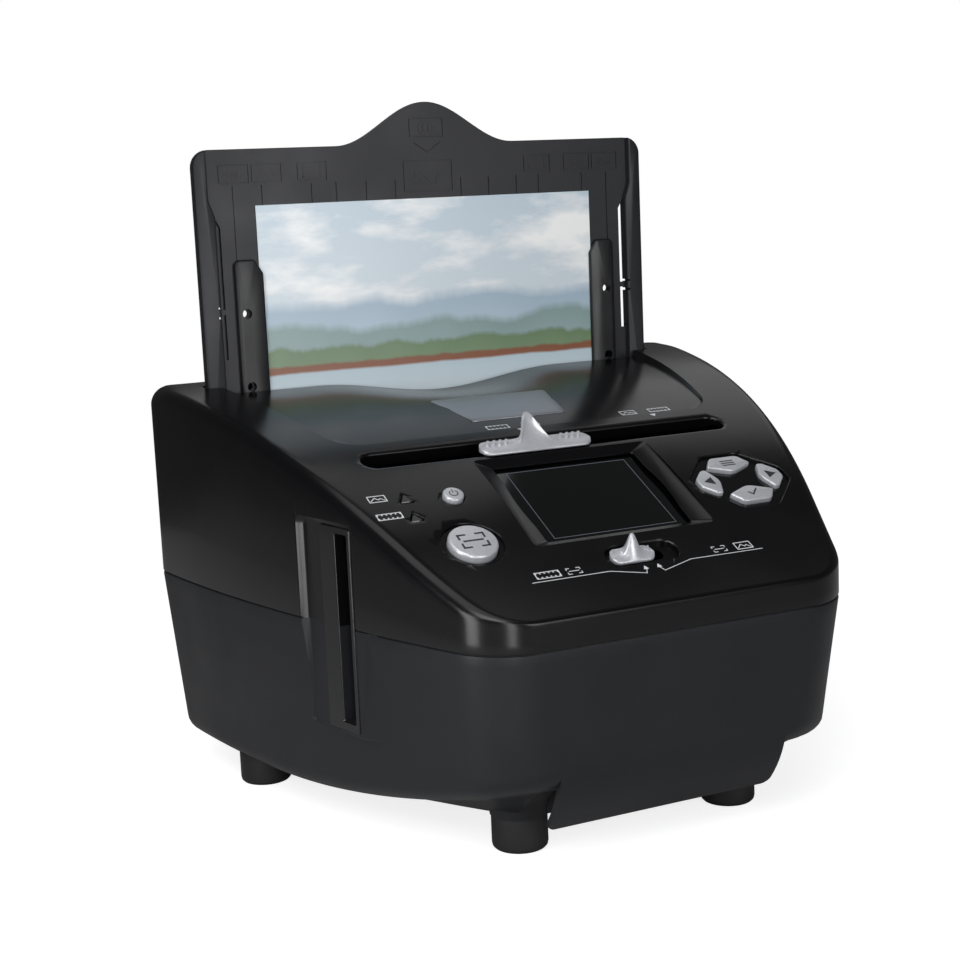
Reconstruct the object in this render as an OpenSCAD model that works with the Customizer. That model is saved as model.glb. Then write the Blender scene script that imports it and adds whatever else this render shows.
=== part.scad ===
// Film and photo scanner. The front face looks along -Y, the feet stand on z = 0.
// Every sub-part is drawn from the front face at y = 0, and placed() centres it front to back.

/* [Body] */
// Depth from the front face to the rear wall
body_d = 210; // [200:1:225]
// Half width of the front face at the parting line
front_half_w = 69.2; // [66:0.2:74]
// How far the body reaches out beside the photo tray at the rear wall
rear_margin = 20.6; // [18:0.2:24]
// How far the side walls bow outwards half way back
side_bow = 8.7; // [6:0.1:11]
// Height of the parting line between the two housings
parting_z = 80; // [78:0.5:82]
// Height of the sloping top where it would meet the front face
top_front_z = 82.6; // [82:0.1:84]
// Height of the top at the rear
top_rear_z = 156.3; // [154:0.1:160]
// Slope of the top at the front
top_front_slope = 0.8134; // [0.78:0.01:0.84]
// Slope of the top at the rear
top_rear_slope = 0.06; // [0.02:0.01:0.1]
// Radius of the front corners in plan
front_corner_r = 16; // [12:1:20]
// Radius of the rear corners in plan
rear_corner_r = 10; // [6:1:14]
// Radius of the rear top edge
rear_edge_r = 8; // [5:1:11]
// Height of the housing's flat bottom
base_z = 12.5; // [11:0.5:14]
// Wall thickness of both housings
wall = 2.5; // [2:0.1:3]

/* [Feet] */
// Diameter of a rubber foot
foot_dia = 20; // [16:0.5:22]
// Half spacing of the front feet
front_foot_x = 43.5; // [40:0.5:48]
// Distance of the front feet behind the front face
front_foot_y = 40.8; // [38:0.2:46]
// Half spacing of the rear feet
rear_foot_x = 97; // [90:0.5:98]
// Distance of the rear feet in front of the rear wall
rear_foot_in = 51.3; // [44:0.1:60]

/* [Film channel] */
// Height of the film opening
film_h = 67; // [64:0.5:68]
// Width of the film opening
film_w = 7.6; // [6.6:0.1:8]
// Distance of the channel's middle plane behind the front face
film_y = 68.9; // [67:0.1:70]
// Height of the optical axis
axis_z = 79.5; // [78.5:0.1:80]
// Distance of each bezel's outer face from the middle plane
bezel_x = 96; // [95:0.1:97]

/* [Display and keys] */
// Width of the display bezel
lcd_bezel_w = 73; // [70:0.5:75]
// Height of the display bezel along the slope
lcd_bezel_h = 54; // [52:0.5:56]
// Width of the display opening
lcd_open_w = 58.5; // [56:0.5:60]
// Height of the display opening along the slope
lcd_open_h = 46; // [44:0.5:47]
// Distance of the display's middle behind the front face
lcd_y = 58; // [57:0.1:59]
// Diameter of the scan button
scan_dia = 17.6; // [16:0.2:19]
// Diameter of the power button
power_dia = 7.6; // [6.6:0.2:8.4]
// Running clearance around a key
key_gap = 0.35; // [0.25:0.05:0.5]
// Travel of a key
key_travel = 0.8; // [0.5:0.1:1]

/* [Selectors] */
// Length of the long slot in the top
selector_slot_l = 152.4; // [148:0.2:156]
// Width of the long slot
selector_slot_w = 10.4; // [9:0.1:11]
// Distance of the long slot behind the front face
selector_y = 89.3; // [88:0.1:91]
// Rest position of the selector knob along the slot
selector_rest_x = -8; // [-12:0.5:-6]
// Travel of the selector knob
selector_travel = 58; // [54:1:60]
// Length of the lens switch slot
switch_slot_l = 28; // [26:0.5:30]
// Width of the lens switch slot
switch_slot_w = 10.6; // [9.6:0.2:11]
// Distance of the lens switch slot behind the front face
switch_y = 24.6; // [24:0.2:26]
// Travel of the lens switch
switch_travel = 6; // [5:0.5:7]

/* [Photo tray] */
// How far the tray reaches out beside the loaded print
tray_margin = 25.2; // [24:0.2:27]
// Distance of the tray's back face in front of the rear wall
tray_back_in = 18; // [17:0.5:20]
// Thickness of the tray's back plate
tray_plate_t = 2; // [1.6:0.1:2.4]
// Thickness of the tray's side rails
tray_rail_t = 4.6; // [4:0.1:5]
// Height of the tray's lower edge at rest
tray_low_z = 113; // [110:1:118]
// Height of the tray's shoulders at rest
tray_shoulder_z = 248; // [244:1:252]
// Height of the hump's top at rest
tray_hump_z = 265; // [262:1:270]
// Width of the loaded print
print_w = 152.4; // [150:0.1:153]
// Height of the loaded print
print_h = 101.6; // [100:0.1:103]
// Height of the print's lower edge at rest
print_low_z = 124; // [122:0.5:128]
// Running clearance around the tray
tray_gap = 0.8; // [0.5:0.1:1.2]

/* [Hidden] */
$fn = 48;
eps = 0.01;
seat = 0.2;               // gap where two parts of one body face each other
run_gap = 0.4;            // running gap between a sliding knob and the housing
far = 400;

tray_half_w = print_w / 2 + tray_margin;
tray_back_y = body_d - tray_back_in;
rear_half_w = tray_half_w + rear_margin;
rear_foot_y = body_d - rear_foot_in;

// --- shape of the body ---
function half_w(y) = let (t = y / body_d)
  front_half_w + (rear_half_w - front_half_w) * t + 4 * side_bow * t * (1 - t);
nose_lift = 7.9;          // how far the blunt nose stands above the curve's start
nose_d = 42;              // depth of the nose
function top_z(y) = let (t = y / body_d)
  top_front_z * (2 * t * t * t - 3 * t * t + 1) + top_front_slope * body_d * (t * t * t - 2 * t * t + t)
  + top_rear_z * (3 * t * t - 2 * t * t * t) + top_rear_slope * body_d * (t * t * t - t * t)
  + nose_lift * pow(max(0, 1 - y / nose_d), 2);
function top_angle(y) = atan((top_z(y + 0.5) - top_z(y - 0.5)));
function edge_drop(d, r) = d >= r ? 0 : r - sqrt(max(0, r * r - (r - d) * (r - d)));

front_edge_r = 2;
front_edge_k = 0.6;       // how far the front edge falls, as a share of its radius
function top_profile(y) = top_z(y)
  - front_edge_k * edge_drop(y, front_edge_r) - edge_drop(body_d - y, rear_edge_r);

corner_steps = [0 : 15 : 90];
side_steps = 12;
function plan_ys(inset) = concat(
  [for (a = corner_steps) inset + (front_corner_r - inset) * (1 - cos(a))],
  [for (i = [1 : side_steps - 1]) front_corner_r + (body_d - rear_corner_r - front_corner_r) * i / side_steps],
  [for (a = corner_steps) body_d - inset - (rear_corner_r - inset) * (1 - sin(a))]);
function plan_half(y, inset) = half_w(y) - inset
  - edge_drop(y - inset, front_corner_r - inset) - edge_drop(body_d - inset - y, rear_corner_r - inset);
module plan(inset = 0) {
  ys = plan_ys(inset);
  polygon(concat([for (y = ys) [plan_half(y, inset), y]],
    [for (i = [len(ys) - 1 : -1 : 0]) [-plan_half(ys[i], inset), ys[i]]]));
}
module profile(inset = 0, low = 0) {
  ys = plan_ys(inset);
  drop = inset * 1.2;
  rotate([90, 0, 90]) linear_extrude(far, center = true)
    polygon(concat([[inset, low]], [for (y = ys) [y, top_profile(y) - drop]], [[body_d - inset, low]]));
}
module body_solid(inset = 0, low = 0)
  intersection() {
    translate([0, 0, low]) linear_extrude(far) plan(inset);
    profile(inset, low);
  }
module placed() translate([0, -body_d / 2, 0]) children();
// A frame that lies on the sloping top at x, y, with its own z along the surface's normal
module on_top(x, y) translate([x, y, top_z(y)]) rotate([top_angle(y), 0, 0]) children();
module slot_outline(l, w) {
  square([l - w, w], center = true);
  for (s = [-1, 1]) translate([s * (l - w) / 2, 0]) circle(d = w);
}
module box(w, d, h) translate([-w / 2, -d / 2, 0]) cube([w, d, h]);

// --- photo feed area in the top ---
feed_front_y = 103;       // front edge of the sunk feed area
feed_side = 25;           // how far it lies inside the side walls
feed_depth_front = 0.8;
feed_depth_rear = 3;
feed_pan_t = 12;          // depth of the pan under it
tray_front_y = tray_back_y - tray_rail_t;
slot_front_y = tray_front_y - tray_gap;
slot_back_y = tray_back_y + tray_gap;
finger_dip_half = 50;     // half width of the finger dip at the tray
finger_dip_depth = 6;
finger_dip_r = (pow(finger_dip_half, 2) + pow(finger_dip_depth, 2)) / (2 * finger_dip_depth);
function feed_depth(y) = feed_depth_front
  + (feed_depth_rear - feed_depth_front) * (y - feed_front_y) / (slot_front_y - feed_front_y);
module feed_outline(grow = 0) {
  ys = [feed_front_y - grow, feed_front_y + 3, feed_front_y + 10, 125, 145, 165, slot_back_y + grow + 3];
  halves = [for (i = [0 : len(ys) - 1]) half_w(ys[i]) - feed_side + grow - (i == 0 ? 10 : i == 1 ? 3 : 0)];
  polygon(concat([for (i = [0 : len(ys) - 1]) [halves[i], ys[i]]],
    [for (i = [len(ys) - 1 : -1 : 0]) [-halves[i], ys[i]]]));
}
module above_feed() {
  ys = [feed_front_y - 1, 115, 130, 145, 160, 175, slot_front_y];
  rotate([90, 0, 90]) linear_extrude(far, center = true)
    polygon(concat([for (y = ys) [y, top_z(y) - feed_depth(y)]], [[slot_front_y, far / 2], [ys[0], far / 2]]));
}
module feed_cut() {
  intersection() {
    linear_extrude(far) feed_outline();
    above_feed();
  }
  // the finger dip is a shallow trough that runs out towards the front
  dip_z = top_z(slot_front_y) - feed_depth_rear - finger_dip_depth;
  translate([0, slot_front_y + 1, dip_z + finger_dip_r]) rotate([93, 0, 0])
    translate([0, 0, -2]) cylinder(r = finger_dip_r, h = 66, $fn = 96);
}
module feed_pan()
  intersection() {
    body_solid(0, parting_z);
    linear_extrude(far) feed_outline(wall);
    rotate([90, 0, 90]) linear_extrude(far, center = true)
      polygon(concat([for (y = [feed_front_y - wall : 12 : slot_back_y + wall]) [y, top_z(y) - feed_pan_t]],
        [[slot_back_y + wall, far / 2], [feed_front_y - wall, far / 2]]));
  }
module tray_slot_cut()
  translate([-tray_half_w - tray_gap, slot_front_y, parting_z])
    cube([2 * (tray_half_w + tray_gap), slot_back_y - slot_front_y, far]);

// --- clusters on the sloping panel ---
left_cluster = [-60, 50];
right_cluster = [60, 53];
scan_at = [2.5, -12.4];
power_at = [6.5, 13.9];
photo_led_at = [-10.7, 15.6];
film_led_at = [-11.4, 4.7];
led_size = 6;
panel_t = 3;              // depth of the panel's underside below its face
key_proud = 1.4;
flange_t = 1;
flange_lip = 0.75;
switch_h = 2.2;
board_t = 1.2;
stem_low = panel_t + seat + flange_t + 0.9;
switch_top = stem_low + key_travel + 0.1;
board_top = switch_top + switch_h;
key_recess = 1;
left_board = [30, 44];
right_board = [42, 37];
post_d = 4;
module board_posts(size) for (sx = [-1, 1], sy = [-1, 1])
  translate([sx * (size[0] / 2 - post_d / 2), sy * (size[1] / 2 - post_d / 2), -board_top])
    cylinder(d = post_d, h = board_top - panel_t + 1, $fn = 24);
module board(size) translate([0, 0, -board_top - board_t / 2])
  cube([size[0], size[1], board_t], center = true);
module key_outline(kind) {
  if (kind == "mode") polygon([[-5.5, 14], [5.5, 14], [9.5, 8.2], [6, 4.2], [-6, 4.2], [-9.5, 8.2]]);
  if (kind == "enter") mirror([0, 1]) key_outline("mode");
  if (kind == "right") polygon([[11.2, 7.2], [13.4, 7.2], [18.4, 1.8], [18.4, -1.8], [13.4, -7.2],
    [11.2, -7.2], [7.6, -2.4], [7.6, 2.4]]);
  if (kind == "left") mirror([1, 0]) key_outline("right");
}
KEY_KINDS = ["mode", "left", "right", "enter"];
function key_stem_at(kind) = kind == "mode" ? [0, 9] : kind == "enter" ? [0, -9]
  : kind == "right" ? [13, 0] : [-13, 0];
module key_field() polygon([[-7, 16.2], [7, 16.2], [19.6, 3.6], [19.6, -3.6], [7, -16.2], [-7, -16.2],
  [-19.6, -3.6], [-19.6, 3.6]]);
module led_outline(grow = 0) circle(d = led_size + grow * 2, $fn = 3);
module round_button(dia, proud) {
  translate([0, 0, -panel_t - seat - flange_t]) cylinder(d = dia + 2 * flange_lip + 2 * key_gap, h = flange_t);
  translate([0, 0, -panel_t - seat - eps]) cylinder(d = dia, h = panel_t + seat + proud + eps);
  translate([0, 0, -stem_low]) cylinder(d = 3, h = stem_low - panel_t - seat - flange_t + eps, $fn = 24);
}
// Flat pockets under the panel, in which the flanges of the buttons and keys move
module flange_pockets() {
  on_top(left_cluster[0], left_cluster[1]) for (b = [[scan_at, scan_dia], [power_at, power_dia]])
    translate(b[0]) translate([0, 0, -8]) cylinder(d = b[1] + 2 * flange_lip + 4 * key_gap, h = 8 - panel_t);
  on_top(right_cluster[0], right_cluster[1]) translate([0, 0, -8]) linear_extrude(8 - panel_t)
    for (kind = KEY_KINDS) offset(delta = flange_lip + key_gap) key_outline(kind);
}
module panel_key(kind) {
  translate([0, 0, -panel_t - seat - flange_t]) linear_extrude(flange_t)
    offset(delta = flange_lip) key_outline(kind);
  translate([0, 0, -panel_t - seat - eps]) linear_extrude(panel_t + seat + key_proud - key_recess + eps)
    key_outline(kind);
  translate(concat(key_stem_at(kind), -stem_low))
    cylinder(d = 3, h = stem_low - panel_t - seat - flange_t + eps, $fn = 24);
}

// --- display ---
lcd_pocket = 2.2;         // depth of the bezel's sloping sides
lcd_floor_t = 2.2;
glass_t = 1;
module_t = 3;
lcd_glass_w = lcd_open_w + 6;
lcd_glass_h = lcd_open_h + 5;
frame_grow = 2.5;
module lcd_hole() {
  translate([0, 0, -lcd_pocket]) linear_extrude(far / 20)
    square([lcd_open_w + 4, lcd_open_h + 2], center = true);
  hull() {
    translate([0, 0, 0.4]) linear_extrude(1.6) square([lcd_bezel_w - 3, lcd_bezel_h - 3], center = true);
    translate([0, 0, -lcd_pocket]) linear_extrude(0.1) square([lcd_open_w, lcd_open_h], center = true);
  }
  translate([0, 0, -far / 20]) linear_extrude(far / 10) square([lcd_open_w, lcd_open_h], center = true);
}
module lcd_frame() translate([0, 0, -lcd_pocket - lcd_floor_t]) linear_extrude(lcd_pocket + lcd_floor_t)
  square([lcd_bezel_w + frame_grow, lcd_bezel_h + frame_grow], center = true);

// --- name plate ---
plate_y = 128;
plate_front_half = 19.5;
plate_rear_half = 25.5;
plate_half_l = 14;
plate_t = 1;
module plate_outline(grow = 0) {
  r = 2;
  hull() for (s = [-1, 1]) {
    translate([s * (plate_front_half + grow - r), -plate_half_l - grow + r]) circle(r = r, $fn = 32);
    translate([s * (plate_rear_half + grow - r), plate_half_l + grow - r]) circle(r = r, $fn = 32);
  }
}
plate_sink = 0.15;        // how far its middle lies below the feed area
plate_tilt = atan((feed_depth_rear - feed_depth_front) / (slot_front_y - feed_front_y));
module on_plate() on_top(0, plate_y) translate([0, 0, -feed_depth(plate_y) - plate_sink])
  rotate([-plate_tilt, 0, 0]) children();

// --- film channel ---
film_low = axis_z - film_h / 2;
guide_t = 1.6;
guide_half_l = 86;       // half length of the guides, which end at the pads
pad_front_y = film_y - 5.5;
pad_rear_y = 91;
pad_low = film_low - 5;
pad_high = film_low + film_h + 4;
pad_x = bezel_x - 1;      // plane of the flat pad that the bezel lies on
bezel_low = film_low - 3.4;
bezel_high = film_low + film_h + 2.6;
bezel_front_y = film_y - 5;
bezel_rear_y = film_y + 10;
module film_opening(grow = 0) translate([-far / 2, film_y - film_w / 2 - grow, film_low - grow])
  cube([far, film_w + 2 * grow, film_h + 2 * grow]);
// The film enters through two flat pads, which are sunk at their rear edge and stand proud at their front.
// With a longer reach the pads also fill the body behind and above them, out to the side walls.
module pads_cut() for (s = [0, 1]) mirror([s, 0, 0]) translate([pad_x, pad_front_y, pad_low])
  cube([30, pad_rear_y - pad_front_y, pad_high - pad_low]);
module pads(low, high, reach = pad_x) for (s = [0, 1]) mirror([s, 0, 0])
  translate([guide_half_l, pad_front_y, low])
    cube([reach - guide_half_l, pad_rear_y - pad_front_y + wall, high - low]);

// --- screws that hold the lower housing to the upper one ---
// each row has its distance behind the front face and how far it lies inside the side walls
screw_rows = [[14, 23.6], [0.56 * body_d, 11.8], [body_d - 8, 21.3]];
screw_at = [for (row = screw_rows, s = [-1, 1]) [s * (half_w(row[0]) - row[1]), row[0]]];
screw_shank_d = 3;
screw_head_d = 6;
boss_d = 8;
boss_low = 60;            // where the upper housing's bosses end

module upper_housing() color([0.09, 0.09, 0.1]) placed() difference() {
  union() {
    difference() {
      body_solid(0, parting_z);
      translate([0, 0, -0.01]) body_solid(wall, parting_z - 5);
      flange_pockets();
    }
    feed_pan();
    intersection() {
      body_solid(0, parting_z);
      on_top(0, lcd_y) lcd_frame();
    }
    pads(parting_z, pad_high + wall);
    intersection() {
      body_solid(0, parting_z);
      pads(parting_z, pad_high + wall, far);
    }
    intersection() {
      body_solid(0, parting_z);
      on_top(0, switch_y) translate([0, 0, -switch_recess - wall]) linear_extrude(switch_recess + wall)
        slot_outline(switch_slot_l + 5, switch_slot_w + 5);
    }
    on_top(left_cluster[0], left_cluster[1]) board_posts(left_board);
    on_top(right_cluster[0], right_cluster[1]) board_posts(right_board);
    for (p = screw_at) intersection() {
      translate([p[0], p[1], parting_z]) cylinder(d = boss_d, h = far / 4);
      body_solid(0.5, parting_z);
    }
  }
  feed_cut();
  tray_slot_cut();
  on_top(0, lcd_y) lcd_hole();
  on_top(0, selector_y) translate([0, 0, -8]) linear_extrude(16) slot_outline(selector_slot_l, selector_slot_w);
  on_top(0, switch_y) {
    translate([0, 0, -switch_recess]) linear_extrude(8) slot_outline(switch_slot_l, switch_slot_w);
    translate([0, 0, -8]) linear_extrude(16)
      slot_outline(switch_stem_w + switch_travel + 6, switch_stem_d + 2 * run_gap);
  }
  on_top(left_cluster[0], left_cluster[1]) {
    translate(scan_at) translate([0, 0, -8]) cylinder(d = scan_dia + 2 * key_gap, h = 16);
    translate(scan_at) translate([0, 0, -0.8]) cylinder(d = scan_dia + 5, h = 8);
    translate(power_at) translate([0, 0, -8]) cylinder(d = power_dia + 2 * key_gap, h = 16);
    for (p = [photo_led_at, film_led_at]) translate(p) rotate(210) translate([0, 0, -8])
      linear_extrude(16) led_outline(0.2);
  }
  on_top(right_cluster[0], right_cluster[1]) {
    translate([0, 0, -key_recess]) linear_extrude(8) key_field();
    translate([0, 0, -8]) linear_extrude(16) for (kind = KEY_KINDS) offset(delta = key_gap) key_outline(kind);
  }
  on_plate() translate([0, 0, -plate_t - 0.05]) linear_extrude(8) plate_outline(0.15);
  pads_cut();
  film_opening();
  for (p = screw_at) translate([p[0], p[1], parting_z - 1]) cylinder(d = screw_shank_d, h = 8, $fn = 24);
}

// --- lower housing ---
rim_inset = 4.6;          // how far the walls lean in down to their lower rim
rim_rise = 20;            // how far that rim climbs at the front
rim_level_y = 130;        // where it becomes level
function rim_z(y) = base_z + rim_rise * pow(max(0, 1 - y / rim_level_y), 2);
belly_inset = 15;
belly_front_y = 27;
rear_low_inset = 5.5;
apron_half_w = 45;
apron_low = 13;           // height of the apron's lower edge
apron_top = 36;
apron_front_y = 16;       // that edge's distance behind the front face
apron_back_y = 26;
function low_half(y, side) = plan_half(y, 0) - side;
module belly_slice(z, inset) {
  front = belly_front_y + inset;
  ys = [for (t = [0 : 0.1 : 1]) front + (body_d - rear_low_inset - inset - front) * t];
  function side_at(y) = rim_inset + inset + (belly_inset - rim_inset) * max(0, 1 - y / rear_foot_y);
  halves = [for (y = ys) half_w(y) - side_at(y)
    - (y > body_d - rear_low_inset - inset - 1 ? 5 : y < front + 1 ? 8 : 0)];
  translate([0, 0, z]) linear_extrude(0.1) polygon(concat([for (i = [0 : len(ys) - 1]) [halves[i], ys[i]]],
    [for (i = [len(ys) - 1 : -1 : 0]) [-halves[i], ys[i]]]));
}
module tub(inset = 0) hull() {
  translate([0, 0, parting_z - (inset > 0 ? 0 : 0.1)]) linear_extrude(0.1) plan(inset);
  for (y = plan_ys(0), s = [-1, 1])
    translate([s * low_half(y, rim_inset + inset),
      inset + rim_inset + (body_d - 2 * (inset + rim_inset)) * y / body_d, rim_z(y) + inset]) cube(0.02);
  belly_slice(base_z + inset, inset);
}
module apron(inset = 0) hull() {
  translate([-apron_half_w + inset, rim_inset - 1 + inset, apron_top])
    cube([2 * (apron_half_w - inset), apron_back_y, 1]);
  translate([-apron_half_w + inset, apron_front_y + inset, apron_low])
    cube([2 * (apron_half_w - inset), apron_back_y - apron_front_y - inset, 1]);
}
module foot_spots() for (s = [-1, 1]) {
  translate([s * front_foot_x, front_foot_y, 0]) children();
  translate([s * rear_foot_x, rear_foot_y, 0]) children();
}
usb_x = -70;
card_x = -40;
socket_z = 50;            // height of the sockets' lower edge
usb_w = 7.8;
usb_l = 9;
usb_h = 4;
card_w = 25;
card_l = 8.4;
card_h = 3.8;
socket_room = 0.6;        // room around a socket in the rear wall
main_board_x = -30;
main_board_y = body_d - 12.5;
main_board_w = 100;
main_board_h = 34;
main_board_low = 36;
board_post_in = 6;        // distance of its posts from its edges
module lower_housing() color([0.1, 0.1, 0.11]) placed() difference() {
  union() {
    difference() {
      union() {
        tub();
        apron();
      }
      tub(wall);
    }
    for (p = screw_at) intersection() {
      translate([p[0], p[1], 0]) cylinder(d = boss_d + 4, h = parting_z);
      tub(0.5);
    }
    pads(pad_low, parting_z);
    intersection() {
      tub();
      pads(pad_low - wall, parting_z, far);
    }
    foot_spots() translate([0, 0, base_z]) cylinder(d = foot_dia, h = wall);
    intersection() {
      tub(0.5);
      for (sx = [-1, 1], z = [main_board_low + board_post_in, main_board_low + main_board_h - board_post_in])
        translate([main_board_x + sx * (main_board_w / 2 - board_post_in), main_board_y + board_t / 2, z])
          rotate([-90, 0, 0]) cylinder(d = 6, h = body_d - main_board_y, $fn = 24);
    }
  }
  pads_cut();
  film_opening();
  for (p = screw_at) translate([p[0], p[1], 0]) {
    cylinder(d = screw_shank_d + 0.6, h = parting_z + 1, $fn = 24);
    cylinder(d = screw_head_d + 1, h = boss_low);
  }
  // openings for the card slot and the data socket in the rear wall
  for (o = [[usb_x, usb_w, usb_h], [card_x, card_w, card_h]]) translate([o[0], body_d, socket_z - socket_room])
    box(o[1] + 2 * socket_room, 30, o[2] + 2 * socket_room);
}

module name_plate() color([0.62, 0.63, 0.65]) placed() on_plate()
  translate([0, 0, -plate_t]) linear_extrude(plate_t) plate_outline();

module lcd_window() color([0.05, 0.06, 0.07]) placed() on_top(0, lcd_y)
  translate([0, 0, -lcd_pocket - lcd_floor_t - glass_t]) linear_extrude(glass_t)
    square([lcd_glass_w, lcd_glass_h], center = true);

module lcd_module() color([0.3, 0.32, 0.34]) placed() on_top(0, lcd_y)
  translate([0, 0, -lcd_pocket - lcd_floor_t - glass_t - module_t]) linear_extrude(module_t)
    square([lcd_glass_w - 2, lcd_glass_h - 2], center = true);

module power_button() color([0.8, 0.81, 0.83]) placed() on_top(left_cluster[0], left_cluster[1])
  translate(power_at) round_button(power_dia, key_proud);
module scan_button() color([0.8, 0.81, 0.83]) placed() on_top(left_cluster[0], left_cluster[1])
  translate(scan_at) round_button(scan_dia, key_proud);
module silver_key(kind) color([0.8, 0.81, 0.83]) placed()
  on_top(right_cluster[0], right_cluster[1]) panel_key(kind);
module mode_key() silver_key("mode");
module left_key() silver_key("left");
module right_key() silver_key("right");
module enter_key() silver_key("enter");

module led_lens(p) color([0.1, 0.1, 0.12]) placed()
  on_top(left_cluster[0], left_cluster[1]) translate(p) rotate(210)
  translate([0, 0, -board_top]) linear_extrude(board_top - 0.3) led_outline(0);
module photo_led_lens() led_lens(photo_led_at);
module film_led_lens() led_lens(film_led_at);

module left_key_board() color([0.1, 0.35, 0.2]) placed() on_top(left_cluster[0], left_cluster[1])
  board(left_board);
module right_key_board() color([0.1, 0.35, 0.2]) placed() on_top(right_cluster[0], right_cluster[1])
  board(right_board);
module tact_switch() translate([0, 0, -board_top]) {
  box(6, 6, switch_h - 0.6);
  cylinder(d = 3.4, h = switch_h, $fn = 24);
}
module tact_switches() color([0.15, 0.15, 0.16]) placed() {
  on_top(left_cluster[0], left_cluster[1]) for (p = [scan_at, power_at]) translate(p) tact_switch();
  on_top(right_cluster[0], right_cluster[1]) for (kind = KEY_KINDS) translate(key_stem_at(kind)) tact_switch();
}

// --- selector knob and the film backlight that it carries ---
knob_w = 46;
knob_base_h = 1.6;
knob_ridge_h = 8;
knob_ridge_w = 6;
knob_stem_w = 14;
knob_stem_d = 5;
rail_z = 108;             // height of the carriage's upper rail
rail_d = 3;
rail_y = selector_y - 2;
rail_half_l = guide_half_l;
panel_w = 50;
panel_h = 42;
panel_t_back = 3;
panel_y = rail_y - 1.6;
shoe_w = 28;              // the carriage's sliding shoe on the rail
shoe_d = 7;
shoe_h = 8;
module selector_knob() color([0.8, 0.81, 0.83]) placed() translate([selector_rest_x, 0, 0])
  on_top(0, selector_y) {
  translate([0, -3.2, run_gap]) linear_extrude(knob_base_h) slot_outline(knob_w, 8);
  hull() {
    translate([0, -2, run_gap + knob_base_h - eps]) box(16, 8, eps);
    translate([0, 0.6, run_gap + knob_ridge_h]) box(knob_ridge_w / 2, 7, eps);
  }
  translate([0, 0, -6]) box(knob_stem_w, knob_stem_d, 6 + run_gap + eps);
  for (s = [-1, 1], i = [0 : 3]) translate([s * (12 + i * 2.4), -3.2, run_gap + knob_base_h - eps])
    box(1, 5.5, 0.7);
}
stem_top_z = top_z(selector_y) - 6.6;
module backlight_carriage() color([0.2, 0.2, 0.22]) placed() translate([selector_rest_x, 0, 0]) {
  difference() {
    union() {
      translate([0, rail_y, rail_z - shoe_h / 2]) box(shoe_w, shoe_d, shoe_h);
      translate([0, selector_y, rail_z]) box(12, 5, stem_top_z - rail_z);
      translate([-selector_rest_x, panel_y, axis_z - panel_h / 2]) box(panel_w, panel_t_back, panel_h);
      translate([0, panel_y + 1, axis_z + panel_h / 2 - 2])
        box(20, panel_t_back + 2, rail_z - axis_z - panel_h / 2);
    }
    translate([0, rail_y, rail_z]) rotate([0, 90, 0]) cylinder(d = rail_d + 0.3, h = far, center = true);
  }
}
module backlight_diffuser() color([0.92, 0.93, 0.95]) placed()
  translate([0, panel_y - panel_t_back / 2 - 0.8, axis_z - 16]) box(42, 1.2, 32);
module carriage_rails() color([0.7, 0.71, 0.72]) placed()
  translate([0, rail_y, rail_z]) rotate([0, 90, 0]) cylinder(d = rail_d, h = 2 * rail_half_l, center = true);

// --- lens switch and camera ---
lens_y = 16;
lens_l = 22;
lens_d = 12;
lens_post_y = 34;
switch_rest_x = -4;       // rest position of the lens switch along its slot
switch_recess = 1.8;
switch_stem_w = 5;
switch_stem_d = 5;
switch_stem_l = 7;
closeup_y = 44;
closeup_d = 5.6;
module lens_switch_knob() color([0.8, 0.81, 0.83]) placed() translate([switch_rest_x, 0, 0])
  on_top(0, switch_y) {
  translate([0, 0, run_gap - switch_recess]) linear_extrude(1.4) slot_outline(17, 7);
  hull() {
    translate([0, 0, run_gap - switch_recess + 1.4 - eps]) box(7, 7, eps);
    translate([0, 1, 4.6]) box(1.6, 5, eps);
  }
  translate([0, 0, -switch_stem_l])
    box(switch_stem_w, switch_stem_d, switch_stem_l + run_gap - switch_recess + eps);
}
module closeup_slider() color([0.16, 0.16, 0.17]) placed() translate([switch_rest_x, 0, 0]) difference() {
  union() {
    translate([0, closeup_y, axis_z - 8]) box(22, 2, 20);
    translate([0, (switch_y + closeup_y) / 2 + 1.5, axis_z + 10]) box(5, closeup_y - switch_y + 5, 2);
    translate([0, switch_y + 3, axis_z + 10]) box(5, 5, top_z(switch_y) - axis_z - 10 - 4);
  }
  on_top(0, switch_y) translate([0, 0, -switch_stem_l - seat]) box(20, 20, 20);
  translate([-switch_rest_x, closeup_y, axis_z]) rotate([90, 0, 0]) cylinder(d = closeup_d, h = 10, center = true);
}
module closeup_lens() color([0.7, 0.8, 0.9]) placed() translate([0, closeup_y, axis_z]) rotate([90, 0, 0])
  cylinder(d = closeup_d - 0.04, h = 1.8, center = true);
module lens_barrel() color([0.08, 0.08, 0.09]) placed() translate([0, lens_y, axis_z]) rotate([-90, 0, 0])
  cylinder(d = lens_d, h = lens_l);
module lens_mount() color([0.14, 0.14, 0.15]) placed() difference() {
  union() {
    translate([0, lens_post_y, axis_z - 9]) box(18, 5, 18);
    translate([0, lens_post_y, base_z + wall]) box(18, 5, axis_z - 9 - base_z - wall + eps);
  }
  translate([0, lens_y - 8, axis_z]) rotate([-90, 0, 0]) cylinder(d = lens_d + 0.04, h = 40);
}
module sensor_board() color([0.1, 0.35, 0.2]) placed()
  translate([0, lens_y - board_t / 2, axis_z - 11]) box(30, board_t, 22);

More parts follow.
